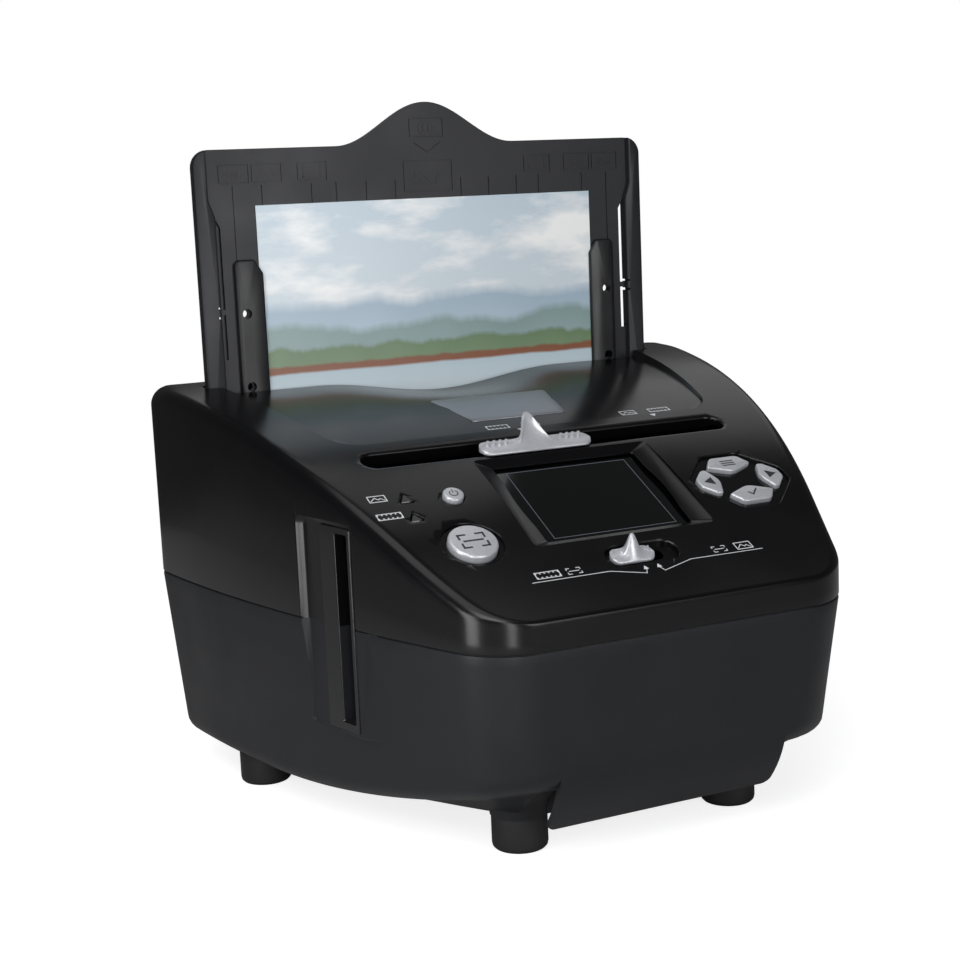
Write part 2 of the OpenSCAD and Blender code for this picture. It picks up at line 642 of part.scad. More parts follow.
// --- film guides ---
window_w = 40;
window_h = 30;
guide_post_w = 8;
guide_post_d = 6;
module film_guide(y0) difference() {
  translate([0, y0, film_low - 1.5]) box(2 * guide_half_l, guide_t, film_h + 1);
  translate([0, y0, axis_z - window_h / 2]) box(window_w, 10, window_h);
}
module film_guide_front() color([0.13, 0.13, 0.14]) placed() {
  film_guide(film_y - film_w / 2 - guide_t / 2);
  for (s = [-1, 1]) translate([s * 40, film_y - film_w / 2 - 3.2, base_z + wall])
    box(guide_post_w, guide_post_d, film_low - base_z - wall);
}
module film_guide_rear() color([0.13, 0.13, 0.14]) placed() {
  film_guide(film_y + film_w / 2 + guide_t / 2);
  for (s = [-1, 1]) translate([s * 60, film_y + film_w / 2 + 3.2, base_z + wall])
    box(guide_post_w, guide_post_d, film_low - base_z - wall);
}
module film_bezel() difference() {
  translate([pad_x, bezel_front_y, bezel_low])
    cube([bezel_x - pad_x, bezel_rear_y - bezel_front_y, bezel_high - bezel_low]);
  film_opening();
}
module film_bezel_right() color([0.07, 0.07, 0.08]) placed() film_bezel();
module film_bezel_left() color([0.07, 0.07, 0.08]) placed() mirror([1, 0, 0]) film_bezel();

// --- photo tray ---
tray_plate_y = tray_back_y - tray_plate_t;
hump_half = 40;
tray_corner_r = 7;
rail_low_w = 7.9;         // width of a side rail beside the print
rail_high_w = 5.6;        // its width above the print
rail_jog_z = 221.6;       // where it starts to narrow
rail_jog_h = 6.8;
guide_w = 12;
guide_in = 1.2;           // how far a guide bar laps over the print
guide_x = print_w / 2 - guide_in;
guide_travel = 4;
guide_high = 206;
guide_lug_zs = [150, 190];
guide_lug_w = 3;
guide_lug_h = 2.2;
slot_x = tray_half_w - 9.2;
slot_w = 2;
slot_low_z = 165;
slot_high_z = 221.5;
tab_z = 182.9;            // the tab that crosses each slot
tab_h = 2.1;
function hump(x) = tray_shoulder_z
  + (tray_hump_z - tray_shoulder_z) * pow(cos(90 * min(1, abs(x) / hump_half)), 2);
module tray_outline() {
  xs = [for (i = [-12 : 12]) i * hump_half / 12];
  corner = [for (a = [0 : 15 : 90]) tray_corner_r * [cos(a) - 1, sin(a) - 1]];
  polygon(concat([[-tray_half_w, tray_low_z]],
    [for (c = corner) [-tray_half_w - c[0], tray_shoulder_z + c[1]]],
    [for (x = xs) [x, hump(x)]],
    [for (i = [len(corner) - 1 : -1 : 0]) [tray_half_w + corner[i][0], tray_shoulder_z + corner[i][1]]],
    [[tray_half_w, tray_low_z]]));
}
module tray_rails() for (s = [0, 1]) mirror([s, 0]) translate([tray_half_w, 0]) polygon([[0, tray_low_z],
  [0, tray_shoulder_z], [-rail_high_w, tray_shoulder_z], [-rail_high_w, rail_jog_z + rail_jog_h],
  [-rail_low_w, rail_jog_z], [-rail_low_w, tray_low_z]]);
module upright(y, t) translate([0, y + t, 0]) rotate([90, 0, 0]) linear_extrude(t) children();
module photo_tray() color([0.1, 0.1, 0.11]) placed() difference() {
  union() {
    upright(tray_plate_y, tray_plate_t) tray_outline();
    upright(tray_back_y - tray_rail_t, tray_rail_t) intersection() {
      tray_outline();
      union() {
        tray_rails();
        translate([-tray_half_w, tray_low_z]) square([2 * tray_half_w, print_low_z - tray_low_z - 0.3]);
      }
    }
  }
  for (s = [-1, 1]) {
    for (zs = [[slot_low_z, tab_z], [tab_z + tab_h, slot_high_z]])
      translate([s * slot_x, tray_plate_y + tray_plate_t / 2, zs[0]]) box(slot_w, 10, zs[1] - zs[0]);
    for (z = guide_lug_zs) translate([s * (guide_x + guide_w / 2 + guide_travel / 2), tray_back_y, z])
      box(guide_travel + guide_lug_w + 1, 12, guide_lug_h + 0.8);
  }
}
module tray_guide() {
  y0 = tray_back_y - tray_rail_t + 0.3;
  difference() {
    translate([guide_x, y0, print_low_z])
      cube([guide_w, tray_plate_y - y0 - seat, guide_high - print_low_z - 4]);
    translate([guide_x - 1, tray_plate_y - seat - 1, print_low_z - 1]) cube([guide_in + 1.3, 2, far]);
  }
  hull() {
    translate([guide_x + 3, y0, guide_high - 5]) cube([guide_w - 3, tray_plate_y - y0 - seat, 1]);
    translate([guide_x + 5, y0, guide_high]) cube([guide_w - 6, tray_plate_y - y0 - seat, 1]);
  }
  for (z = guide_lug_zs)
    translate([guide_x + guide_w / 2 - guide_lug_w / 2, tray_plate_y - seat - eps, z + 0.4])
      cube([guide_lug_w, tray_plate_t + seat + 0.2, guide_lug_h]);
}
module tray_guide_right() color([0.08, 0.08, 0.09]) placed() tray_guide();
module tray_guide_left() color([0.08, 0.08, 0.09]) placed() mirror([1, 0, 0]) tray_guide();
print_t = 0.4;
module photo_print() color([0.75, 0.82, 0.85]) placed()
  translate([0, tray_plate_y - seat - 0.25, print_low_z]) box(print_w, print_t, print_h);

// --- photo window and its light ---
window_y = tray_front_y - 8;
window_margin = 2;        // how far the window reaches past the loaded print
photo_win_w = print_w + 2 * window_margin;
photo_win_h = print_h + 2 * window_margin;
window_rim = 12;
light_w = 8;
light_d = 6;
light_l = photo_win_h - 26;
module photo_window_frame() color([0.12, 0.12, 0.13]) placed() difference() {
  translate([0, window_y, base_z + wall])
    box(photo_win_w + 2 * window_rim, 3, top_z(window_y) - feed_pan_t - 2 * seat - base_z - wall);
  translate([0, window_y, axis_z - photo_win_h / 2]) box(photo_win_w, 10, photo_win_h);
}
module photo_glass() color([0.8, 0.9, 0.9, 0.4]) placed()
  translate([0, window_y + 1.5 + seat + 0.7, axis_z - photo_win_h / 2 - 3])
    box(photo_win_w + 8, 1.4, photo_win_h + 6);
module light_bars() color([0.85, 0.86, 0.8]) placed() for (s = [-1, 1])
  translate([s * (photo_win_w + window_rim) / 2, window_y - 4.6, axis_z - light_l / 2])
    box(light_w, light_d, light_l);
runner_t = 2.4;
module tray_runner() {
  x0 = tray_half_w + tray_gap;
  difference() {
    translate([x0 - 5, slot_front_y - runner_t, base_z + wall])
      cube([5 + runner_t, slot_back_y - slot_front_y + 2 * runner_t,
        top_z(tray_back_y) - feed_pan_t - base_z - wall - 0.5]);
    translate([x0 - 8, slot_front_y, base_z]) cube([8, slot_back_y - slot_front_y, far]);
  }
}
module tray_runner_right() color([0.12, 0.12, 0.13]) placed() tray_runner();
module tray_runner_left() color([0.12, 0.12, 0.13]) placed() mirror([1, 0, 0]) tray_runner();

// --- boards and sockets ---
module main_board() color([0.1, 0.35, 0.2]) placed() translate([main_board_x, main_board_y, main_board_low])
  box(main_board_w, board_t, main_board_h);
module socket(x, w, l, h) translate([x, main_board_y + board_t / 2 + seat + l / 2, socket_z]) difference() {
  box(w, l, h);
  translate([0, 3, 0.8]) box(w - 1.5, l, h - 1.6);
}
module usb_socket() color([0.75, 0.76, 0.78]) placed() socket(usb_x, usb_w, usb_l, usb_h);
module card_socket() color([0.75, 0.76, 0.78]) placed() socket(card_x, card_w, card_l, card_h);

module rubber_feet() color([0.06, 0.06, 0.06]) placed() foot_spots() {
  translate([0, 0, 1.5]) cylinder(d = foot_dia, h = base_z - 1.5);
  cylinder(d1 = foot_dia - 3, d2 = foot_dia, h = 1.5);
}
module housing_screws() color([0.5, 0.5, 0.52]) placed() for (p = screw_at) translate([p[0], p[1], 0]) {
  translate([0, 0, boss_low - 2.4]) cylinder(d = screw_head_d, h = 2.4);
  translate([0, 0, boss_low - eps]) cylinder(d = screw_shank_d, h = parting_z + 6 - boss_low, $fn = 24);
}

upper_housing();
lower_housing();
name_plate();
lcd_window();
lcd_module();
power_button();
scan_button();
mode_key();
left_key();
right_key();
enter_key();
photo_led_lens();
film_led_lens();
left_key_board();
right_key_board();
tact_switches();
selector_knob();
backlight_carriage();
backlight_diffuser();
carriage_rails();
lens_switch_knob();
closeup_slider();
closeup_lens();
lens_barrel();
lens_mount();
sensor_board();
film_guide_front();
film_guide_rear();
film_bezel_left();
film_bezel_right();
photo_tray();
tray_guide_left();
tray_guide_right();
photo_print();
photo_window_frame();
photo_glass();
light_bars();
tray_runner_left();
tray_runner_right();
main_board();
usb_socket();
card_socket();
rubber_feet();
housing_screws();
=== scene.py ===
# Film and photo scanner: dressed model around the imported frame
import math
import bpy
import bmesh
from mathutils import Matrix, Vector


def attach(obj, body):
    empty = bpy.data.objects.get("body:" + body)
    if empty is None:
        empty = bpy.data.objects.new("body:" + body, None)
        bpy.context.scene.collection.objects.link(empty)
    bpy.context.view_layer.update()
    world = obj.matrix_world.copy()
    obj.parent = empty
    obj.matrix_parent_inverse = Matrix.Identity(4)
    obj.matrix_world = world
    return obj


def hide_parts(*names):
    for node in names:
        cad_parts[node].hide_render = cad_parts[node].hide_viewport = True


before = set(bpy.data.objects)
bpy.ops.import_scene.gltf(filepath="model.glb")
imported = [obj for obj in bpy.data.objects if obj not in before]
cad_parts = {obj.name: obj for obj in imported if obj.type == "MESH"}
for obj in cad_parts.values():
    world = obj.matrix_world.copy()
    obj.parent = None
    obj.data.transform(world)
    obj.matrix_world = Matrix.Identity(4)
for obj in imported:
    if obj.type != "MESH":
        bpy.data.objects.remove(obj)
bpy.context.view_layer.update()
print("stage: frame loaded,", len(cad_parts), "nodes")

# The drawing space is in millimetres, with y counted from the front face as on the construction drawing
mm = 0.001
bodySize = dict(depth=210.0, parting=80.0)


def toWorld(x, y, z):
    return Vector((x * mm, (y - bodySize["depth"] / 2) * mm, z * mm))


def smoothStep(low, high, value):
    t = min(1.0, max(0.0, (value - low) / (high - low)))
    return t * t * (3 - 2 * t)


cameraSet = dict(place=(-299.3, -477.0, 226.8), yaw=0.444, pitch=0.165, roll=-0.044,
    focalPixels=1724.0, framePixels=960.0, sensor=36)


def makeCamera():
    c = cameraSet
    cosYaw, sinYaw = math.cos(c["yaw"]), math.sin(c["yaw"])
    cosPitch, sinPitch = math.cos(c["pitch"]), math.sin(c["pitch"])
    cosRoll, sinRoll = math.cos(c["roll"]), math.sin(c["roll"])
    ahead = Vector((sinYaw * cosPitch, cosYaw * cosPitch, -sinPitch))
    level = Vector((cosYaw, -sinYaw, 0))
    up = level.cross(ahead)
    turn = Matrix((cosRoll * level + sinRoll * up, -sinRoll * level + cosRoll * up, -ahead)).transposed()
    data = bpy.data.cameras.new("productCamera")
    data.sensor_width = c["sensor"]
    data.lens = c["focalPixels"] / c["framePixels"] * c["sensor"]
    camera = bpy.data.objects.new("productCamera", data)
    camera.matrix_world = Matrix.Translation(toWorld(*c["place"])) @ turn.to_4x4()
    bpy.context.collection.objects.link(camera)
    bpy.context.scene.camera = camera
    print("stage: camera")


# Materials: colours are sRGB as seen, and the scale of a pattern is in millimetres
def hexColour(text):
    parts = [int(text[i:i + 2], 16) / 255 for i in (1, 3, 5)]
    return tuple(c / 12.92 if c <= 0.04045 else ((c + 0.055) / 1.055) ** 2.4 for c in parts) + (1.0,)


def addNode(tree, kind, settings=None, links=None):
    node = tree.nodes.new(kind)
    for name, value in (settings or {}).items():
        if isinstance(name, int) or name in node.inputs:
            node.inputs[name].default_value = value
        else:
            setattr(node, name, value)
    for name, source in (links or {}).items():
        tree.links.new(source, node.inputs[name])
    return node


def noise(tree, space, scale, detail, roughness=0.5):
    settings = {"Scale": scale, "Detail": detail, "Roughness": roughness}
    return addNode(tree, "ShaderNodeTexNoise", settings, {"Vector": space}).outputs["Fac"]


def remap(tree, value, fromLow=0.0, fromHigh=1.0, toLow=0.0, toHigh=1.0):
    limits = {"From Min": fromLow, "From Max": fromHigh, "To Min": toLow, "To Max": toHigh}
    return addNode(tree, "ShaderNodeMapRange", limits, {"Value": value}).outputs[0]


def mixTones(tree, factor, first, second):
    # each tone is a hex colour or the output of a node
    settings, links = {"data_type": "RGBA"}, {0: factor}
    for socket, tone in ((6, first), (7, second)):
        if isinstance(tone, str):
            settings[socket] = hexColour(tone)
        else:
            links[socket] = tone
    return addNode(tree, "ShaderNodeMix", settings, links).outputs[2]


def stretched(tree, space, scale):
    return addNode(tree, "ShaderNodeMapping", {"Scale": scale}, {"Vector": space}).outputs[0]


def millimetres(tree):
    # object coordinates are metres, so a scale of 1000 makes one unit of a pattern one millimetre
    return stretched(tree, addNode(tree, "ShaderNodeTexCoord").outputs["Object"], (1000, 1000, 1000))


def drive(tree, shader, socket, source):
    tree.links.new(source, shader.inputs[socket])


def relief(tree, shader, height, strength, depth):
    bump = addNode(tree, "ShaderNodeBump", {"Strength": strength, "Distance": depth * mm}, {"Height": height})
    drive(tree, shader, "Normal", bump.outputs[0])


def newMaterial(name, colour, roughness, metallic=0.0, ior=1.5, **sockets):
    material = bpy.data.materials.new(name)
    material.use_nodes = True
    shader = material.node_tree.nodes["Principled BSDF"]
    shader.inputs["Base Color"].default_value = hexColour(colour)
    shader.inputs["Roughness"].default_value = roughness
    shader.inputs["Metallic"].default_value = metallic
    shader.inputs["IOR"].default_value = ior
    for socket, value in sockets.items():
        shader.inputs[socket.replace("_", " ")].default_value = value
    return material, material.node_tree, shader


def mouldedPlastic(name, colour, roughness, grain, grainDepth, roughSpread=0.06, mottle=None, gloss=0.5):
    # injection-moulded ABS: a spark-eroded grain breaks up the gloss, and handling changes it in patches
    material, tree, shader = newMaterial(name, colour, roughness, ior=1.54, Specular_IOR_Level=gloss)
    space = millimetres(tree)
    patches = noise(tree, space, 0.035, 4.0)
    limits = (roughness - roughSpread, roughness + roughSpread)
    drive(tree, shader, "Roughness", remap(tree, patches, 0.3, 0.7, *limits))
    relief(tree, shader, noise(tree, space, 1 / grain, 2.0), 0.35, grainDepth)
    if mottle:
        drive(tree, shader, "Base Color", mixTones(tree, patches, colour, mottle))
    return material


def silverPaint():
    # metallic lacquer on ABS keys: flakes of about 0.15 mm, drawn at 0.25 mm so that they show
    material, tree, shader = newMaterial("silver lacquered ABS", "#c4c6cc", 0.32, metallic=0.4)
    space = millimetres(tree)
    flakes = addNode(tree, "ShaderNodeTexVoronoi", {"Scale": 4.0}, {"Vector": space}).outputs["Color"]
    drive(tree, shader, "Base Color", mixTones(tree, flakes, "#b9bbc1", "#d6d8dd"))
    drive(tree, shader, "Roughness", remap(tree, noise(tree, space, 0.25, 3.0), toLow=0.24, toHigh=0.4))
    return material


def brushedAluminium():
    # anodised plate, brushed along x: scratches 0.12 mm apart, drawn at 0.3 mm so that they show
    material, tree, shader = newMaterial("brushed anodised aluminium", "#a3a5ab", 0.34, metallic=0.9)
    lines = noise(tree, stretched(tree, millimetres(tree), (0.02, 3.2, 3.2)), 1.0, 3.0)
    drive(tree, shader, "Base Color", mixTones(tree, lines, "#8f9198", "#b4b6bc"))
    drive(tree, shader, "Roughness", remap(tree, lines, toLow=0.26, toHigh=0.46))
    relief(tree, shader, lines, 0.2, 0.02)
    return material


def plainFinish(name, colour, roughness, metallic=0.0, ior=1.5, patch=0.1, spreadBy=0.05, **sockets):
    # a finish whose only life is a soft change of gloss over its surface
    material, tree, shader = newMaterial(name, colour, roughness, metallic, ior, **sockets)
    limits = dict(toLow=max(0.02, roughness - spreadBy), toHigh=roughness + spreadBy)
    drive(tree, shader, "Roughness", remap(tree, noise(tree, millimetres(tree), patch, 3.0), **limits))
    return material


def circuitBoard():
    # FR4 with green solder mask: tracks under the mask as a fine cellular pattern in its colour, 2 mm apart
    material, tree, shader = newMaterial("FR4 circuit board", "#1c5a36", 0.35)
    settings = {"Scale": 0.5, "feature": "DISTANCE_TO_EDGE"}
    tracks = addNode(tree, "ShaderNodeTexVoronoi", settings, {"Vector": millimetres(tree)})
    edge = remap(tree, tracks.outputs["Distance"], 0.04, 0.09)
    drive(tree, shader, "Base Color", mixTones(tree, edge, "#2f7d4c", "#174b2c"))
    return material


printSet = dict(width=152.4, height=101.6, low=124.0, back=189.75, front=189.35)
pictureSet = dict(haze="#e9eef0", sky="#c3d3df", cloud="#fbfcfc",
    layers=(  # share of the height, rise of the noise, its scale, softness, colours below and at the edge
        (0.60, 0.20, 0.021, 0.05, "#b7cad8", "#a4bacb"),
        (0.50, 0.16, 0.034, 0.035, "#9db2b6", "#89a19f"),
        (0.42, 0.10, 0.060, 0.02, "#8ba183", "#6f8a68"),
        (0.355, 0.03, 0.090, 0.012, "#a8765a", "#8c5a44"),
        (0.325, 0.012, 0.050, 0.01, "#dbe8ee", "#c3d6e0"),
        (0.16, 0.10, 0.045, 0.02, "#f1eee8", "#cdbfae"),
        (0.06, 0.09, 0.080, 0.015, "#7f9468", "#5f7550")))


def printedPhoto():
    # glossy photo paper with a soft lake view: each layer is a band whose upper edge follows a noise curve
    material, tree, shader = newMaterial("glossy photo paper", "#dfe8ee", 0.22, ior=1.48)
    space = millimetres(tree)
    split = addNode(tree, "ShaderNodeSeparateXYZ", None, {"Vector": space}).outputs
    height = remap(tree, split["Z"], printSet["low"], printSet["low"] + printSet["height"])
    sky = mixTones(tree, height, pictureSet["haze"], pictureSet["sky"])
    flat = addNode(tree, "ShaderNodeCombineXYZ", None, {"X": split["X"], "Z": split["Z"]}).outputs[0]
    clouds = noise(tree, stretched(tree, flat, (0.022, 1.0, 0.06)), 1.0, 6.0, 0.55)
    picture = mixTones(tree, remap(tree, clouds, 0.47, 0.66), sky, pictureSet["cloud"])
    for share, rise, scale, soft, low, edge in pictureSet["layers"]:
        along = addNode(tree, "ShaderNodeCombineXYZ", {"Y": share * 90}, {"X": split["X"]}).outputs[0]
        crest = addNode(tree, "ShaderNodeMath", {"operation": "MULTIPLY_ADD", 1: rise, 2: share - rise / 2},
            {0: noise(tree, along, scale, 5.0, 0.55)}).outputs[0]
        below = addNode(tree, "ShaderNodeMath", {"operation": "SUBTRACT"}, {0: crest, 1: height}).outputs[0]
        tone = mixTones(tree, remap(tree, below, 0.0, 0.14), edge, low)
        picture = mixTones(tree, remap(tree, below, -soft / 2, soft / 2), picture, tone)
    drive(tree, shader, "Base Color", picture)
    relief(tree, shader, noise(tree, space, 0.02, 2.0), 0.15, 0.4)
    return material


look = dict(
    upper=mouldedPlastic("polished black ABS, upper shell", "#08080a", 0.22, 0.35, 0.01, 0.03,
        mottle="#0a0a0c", gloss=0.32),
    lower=mouldedPlastic("fine satin black ABS, lower shell", "#131417", 0.42, 0.35, 0.03,
        mottle="#1c1d20", gloss=0.3),
    tray=mouldedPlastic("grained black ABS, tray", "#1d1e22", 0.42, 0.5, 0.05, mottle="#202126", gloss=0.4),
    guide=mouldedPlastic("satin black ABS, guides", "#141518", 0.34, 0.4, 0.02, gloss=0.4),
    bezel=mouldedPlastic("gloss black ABS, bezels", "#08080a", 0.16, 0.4, 0.01),
    dark=mouldedPlastic("matte black ABS, inner parts", "#0b0b0c", 0.6, 0.5, 0.05),
    silver=silverPaint(),
    plate=brushedAluminium(),
    glass=plainFinish("black-backed display glass", "#040506", 0.06, patch=0.02, spreadBy=0.02,
        Coat_Weight=0.6, Coat_Roughness=0.03),
    smoked=plainFinish("smoked acrylic lens", "#101014", 0.12, ior=1.49,
        Coat_Weight=0.5, Coat_Roughness=0.05),
    rubber=mouldedPlastic("moulded rubber feet", "#0d0d0e", 0.62, 0.4, 0.05),
    ink=plainFinish("white pad-printed ink", "#d9dbdf", 0.5),
    darkInk=plainFinish("dark pad-printed ink", "#2b2c31", 0.5),
    steel=plainFinish("plain steel", "#a9abae", 0.32, metallic=1.0, patch=0.4, spreadBy=0.08),
    opal=plainFinish("opal diffuser", "#e8eaec", 0.5),
    board=circuitBoard(),
    switch=mouldedPlastic("switch housing", "#1b1b1d", 0.5, 0.4, 0.03),
    clear=plainFinish("clear glass", "#e6f0f0", 0.05, ior=1.52, spreadBy=0.02, Transmission_Weight=0.9),
    photo=printedPhoto(),
    paper=plainFinish("print's paper back", "#eceae4", 0.6),
    # painted reflection: a grey line stands in for the light reflected at the display's edge
    paintedEdgeReflection=plainFinish("painted reflection of the display edge", "#5c616a", 0.4))
print("stage: materials,", len(look))

# The panel: what lies on the top follows its curve
topSet = dict(frontZ=82.6, rearZ=156.3, frontSlope=0.8134, rearSlope=0.06, noseLift=7.9, noseDepth=42.0)


def topZ(y):
    s, t = topSet, y / bodySize["depth"]
    base = s["frontZ"] * (2 * t ** 3 - 3 * t ** 2 + 1) + s["rearZ"] * (3 * t ** 2 - 2 * t ** 3)
    lean = s["frontSlope"] * (t ** 3 - 2 * t ** 2 + t) + s["rearSlope"] * (t ** 3 - t ** 2)
    return base + lean * bodySize["depth"] + s["noseLift"] * max(0.0, 1 - y / s["noseDepth"]) ** 2


def topAngle(y):
    return math.atan(topZ(y + 0.5) - topZ(y - 0.5))


def onSurface(x, y, n, depth=None):
    sunk = depth(x, y) if depth else 0.0
    angle = topAngle(y)
    return toWorld(x, y - n * math.sin(angle), topZ(y) - sunk + n * math.cos(angle))


class Patch:
    # a place on the panel: flat() is its tangent plane, as the keys are built, and wrap() follows the curve
    def __init__(self, x, y):
        self.x, self.y, self.angle = x, y, topAngle(y)

    def flat(self, u, v, n):
        cosA, sinA = math.cos(self.angle), math.sin(self.angle)
        return toWorld(self.x + u, self.y + v * cosA - n * sinA, topZ(self.y) + v * sinA + n * cosA)

    def wrap(self, u, v, n):
        return onSurface(self.x + u, self.y + v * math.cos(self.angle), n)


def upright(x, z, y):
    return toWorld(x, y, z)


# Outlines, each a closed list of (u, v)
def arcPoints(cx, cy, r, start, stop, steps):
    angles = [math.radians(start + (stop - start) * i / steps) for i in range(steps + 1)]
    return [(cx + r * math.cos(a), cy + r * math.sin(a)) for a in angles]


def roundCorners(points, radius, steps=5):
    out = []
    count = len(points)
    for i, p in enumerate(points):
        r = radius[i] if isinstance(radius, (list, tuple)) else radius
        here, before, after = Vector(p), Vector(points[i - 1]), Vector(points[(i + 1) % count])
        a, b = (before - here), (after - here)
        cut = min(r / math.tan(a.angle(b) / 2), a.length * 0.48, b.length * 0.48)
        start, stop = here + a.normalized() * cut, here + b.normalized() * cut
        for k in range(steps + 1):
            t = k / steps
            q = start * (1 - t) ** 2 + here * 2 * t * (1 - t) + stop * t ** 2
            out.append((q.x, q.y))
    return out


def rectangle(w, h, r, steps=6):
    x, y = w / 2 - r, h / 2 - r
    return (arcPoints(x, -y, r, -90, 0, steps) + arcPoints(x, y, r, 0, 90, steps)
        + arcPoints(-x, y, r, 90, 180, steps) + arcPoints(-x, -y, r, 180, 270, steps))


def pill(l, w, steps=14):
    x, r = (l - w) / 2, w / 2
    return arcPoints(x, 0, r, -90, 90, steps) + arcPoints(-x, 0, r, 90, 270, steps)


def disc(d, steps=48):
    turns = [2 * math.pi * i / steps for i in range(steps)]
    return [(d / 2 * math.cos(a), d / 2 * math.sin(a)) for a in turns]


def growOutline(points, by):
    out = []
    for i, point in enumerate(points):
        p, a, b = Vector(point), Vector(points[i - 1]), Vector(points[(i + 1) % len(points)])
        e1, e2 = (p - a), (b - p)
        if e1.length < 1e-6:
            e1 = e2
        if e2.length < 1e-6:
            e2 = e1
        n1, n2 = Vector((e1.y, -e1.x)).normalized(), Vector((e2.y, -e2.x)).normalized()
        n = n1 + n2
        if n.length < 1e-6:
            n = n1
        n.normalize()
        reach = max(0.5, n.dot(n1))
        out.append((p.x + n.x * by / reach, p.y + n.y * by / reach))
    return out


def shifted(points, du, dv):
    return [(u + du, v + dv) for u, v in points]


def ccw(points):
    area = sum(points[i - 1][0] * p[1] - p[0] * points[i - 1][1] for i, p in enumerate(points))
    return points if area > 0 else points[::-1]


# Meshes
def softenShade(obj, degrees):
    for face in obj.data.polygons:
        face.use_smooth = True
    obj.data.set_sharp_from_angle(angle=math.radians(degrees))


def newPiece(name, verts, faces, material, body=None, node=None, smooth=35.0):
    mesh = bpy.data.meshes.new(name)
    mesh.from_pydata([tuple(v) for v in verts], [], faces)
    mesh.validate()
    work = bmesh.new()
    work.from_mesh(mesh)
    bmesh.ops.remove_doubles(work, verts=work.verts, dist=1e-7)
    bmesh.ops.recalc_face_normals(work, faces=work.faces)
    work.to_mesh(mesh)
    work.free()
    obj = bpy.data.objects.new(name, mesh)
    bpy.context.collection.objects.link(obj)
    if material:
        mesh.materials.append(material)
    softenShade(obj, smooth)
    if body:
        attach(obj, body)
    if node:
        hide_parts(node)
    return obj


def loftRings(rings, capStart=True, capEnd=True):
    verts, faces = [], []
    count = len(rings[0])
    for ring in rings:
        verts += ring
    for k in range(len(rings) - 1):
        for i in range(count):
            j = (i + 1) % count
            faces.append((k * count + i, k * count + j, (k + 1) * count + j, (k + 1) * count + i))
    if capStart:
        faces.append(tuple(range(count)))
    if capEnd:
        faces.append(tuple((len(rings) - 1) * count + i for i in range(count)))
    return verts, faces


def layered(outline, place, rows):
    # an outline swept through rows of (growth, n) and set in space by place(u, v, n)
    return loftRings([[place(u, v, n) for u, v in growOutline(outline, grow)] for grow, n in rows])


def lipProfile(lip, depth, above=2.0, steps=5, tilt=25):
    # (grow, n) down through a rolled lip that meets the surface at an angle
    rows = [(lip * (1 - math.sin(math.radians(tilt))) + above * 0.6, above)]
    for i in range(steps + 1):
        a = math.radians(tilt + (90 - tilt) * i / steps)
        rows.append((lip * (1 - math.sin(a)), -lip * (math.cos(math.radians(tilt)) - math.cos(a))))
    return rows + [(0.0, -depth)]


def joined(parts):
    verts, faces = [], []
    for v, f in parts:
        base = len(verts)
        verts += v
        faces += [tuple(i + base for i in face) for face in f]
    return verts, faces


def boxMesh(xs, ys, zs):
    v = [toWorld(x, y, z) for x in sorted(xs) for y in sorted(ys) for z in sorted(zs)]
    return v, [(0, 1, 3, 2), (4, 6, 7, 5), (0, 4, 5, 1), (2, 3, 7, 6), (0, 2, 6, 4), (1, 5, 7, 3)]


def turned(cx, cy, profile, steps=40):
    turns = [2 * math.pi * i / steps for i in range(steps)]
    return loftRings([[toWorld(cx + r * math.cos(a), cy + r * math.sin(a), z) for a in turns]
        for r, z in profile])


def combine(obj, tool, operation):
    step = obj.modifiers.new("cut", "BOOLEAN")
    step.operation = operation
    step.solver = "EXACT"
    step.object = tool
    bpy.context.view_layer.objects.active = obj
    bpy.ops.object.modifier_apply(modifier=step.name)
    bpy.data.objects.remove(tool)


def cutAway(obj, cutters, operation="DIFFERENCE"):
    for verts, faces in cutters:
        combine(obj, newPiece("cutter", verts, faces, None), operation)


# The two housings
shellSet = dict(frontHalf=69.2, rearHalf=122.0, bow=8.7, frontCorner=16.0, rearCorner=10.0, wall=2.5,
    edgeFront=0.9, edgeSide=4.4, edgeRear=8.0, frontFade=(0.0, 15.0), rearFade=(186.0, 206.0),
    columns=56, sideRows=52, cornerRows=12)
feedSet = dict(front=103.0, rear=186.6, side=25.0, corner=10.0, shallow=0.8, deep=3.0, roof=3.0, pan=9.5,
    panFade=(94.0, 102.0))
dipSet = dict(half=55.0, depth=6.0, start=132.0, full=186.0)  # the finger dip at the print
groove = [(0.6, 0.0), (0.52, 0.28), (0.16, 0.42), (0.0, 0.85)]  # the parting line, as (inset, height)


def halfWidth(y):
    s, t = shellSet, y / bodySize["depth"]
    return s["frontHalf"] + (s["rearHalf"] - s["frontHalf"]) * t + 4 * s["bow"] * t * (1 - t)


def edgeDrop(d, r):
    return 0.0 if d >= r else r - math.sqrt(max(0.0, r * r - (r - d) ** 2))


def planPath(inset=0.0):
    # the right-hand half of the plan outline, from the front face round both corners to the rear wall
    depth, rows, turn = bodySize["depth"], shellSet["sideRows"], shellSet["cornerRows"]
    front, rear = (max(0.5, shellSet[key] - inset) for key in ("frontCorner", "rearCorner"))
    corner = [math.radians(90 * i / turn) for i in range(turn + 1)]
    ys = [inset + front * (1 - math.cos(a)) for a in corner]
    ys += [inset + front + (depth - 2 * inset - front - rear) * i / rows for i in range(1, rows)]
    ys += [depth - inset - rear * (1 - math.sin(a)) for a in corner]
    return [(halfWidth(y) - inset - edgeDrop(y - inset, front) - edgeDrop(depth - inset - y, rear), y)
        for y in ys]


def edgeRadius(y):
    s = shellSet
    r = s["edgeFront"] + (s["edgeSide"] - s["edgeFront"]) * smoothStep(*s["frontFade"], y)
    return r + (s["edgeRear"] - s["edgeSide"]) * smoothStep(*s["rearFade"], y)


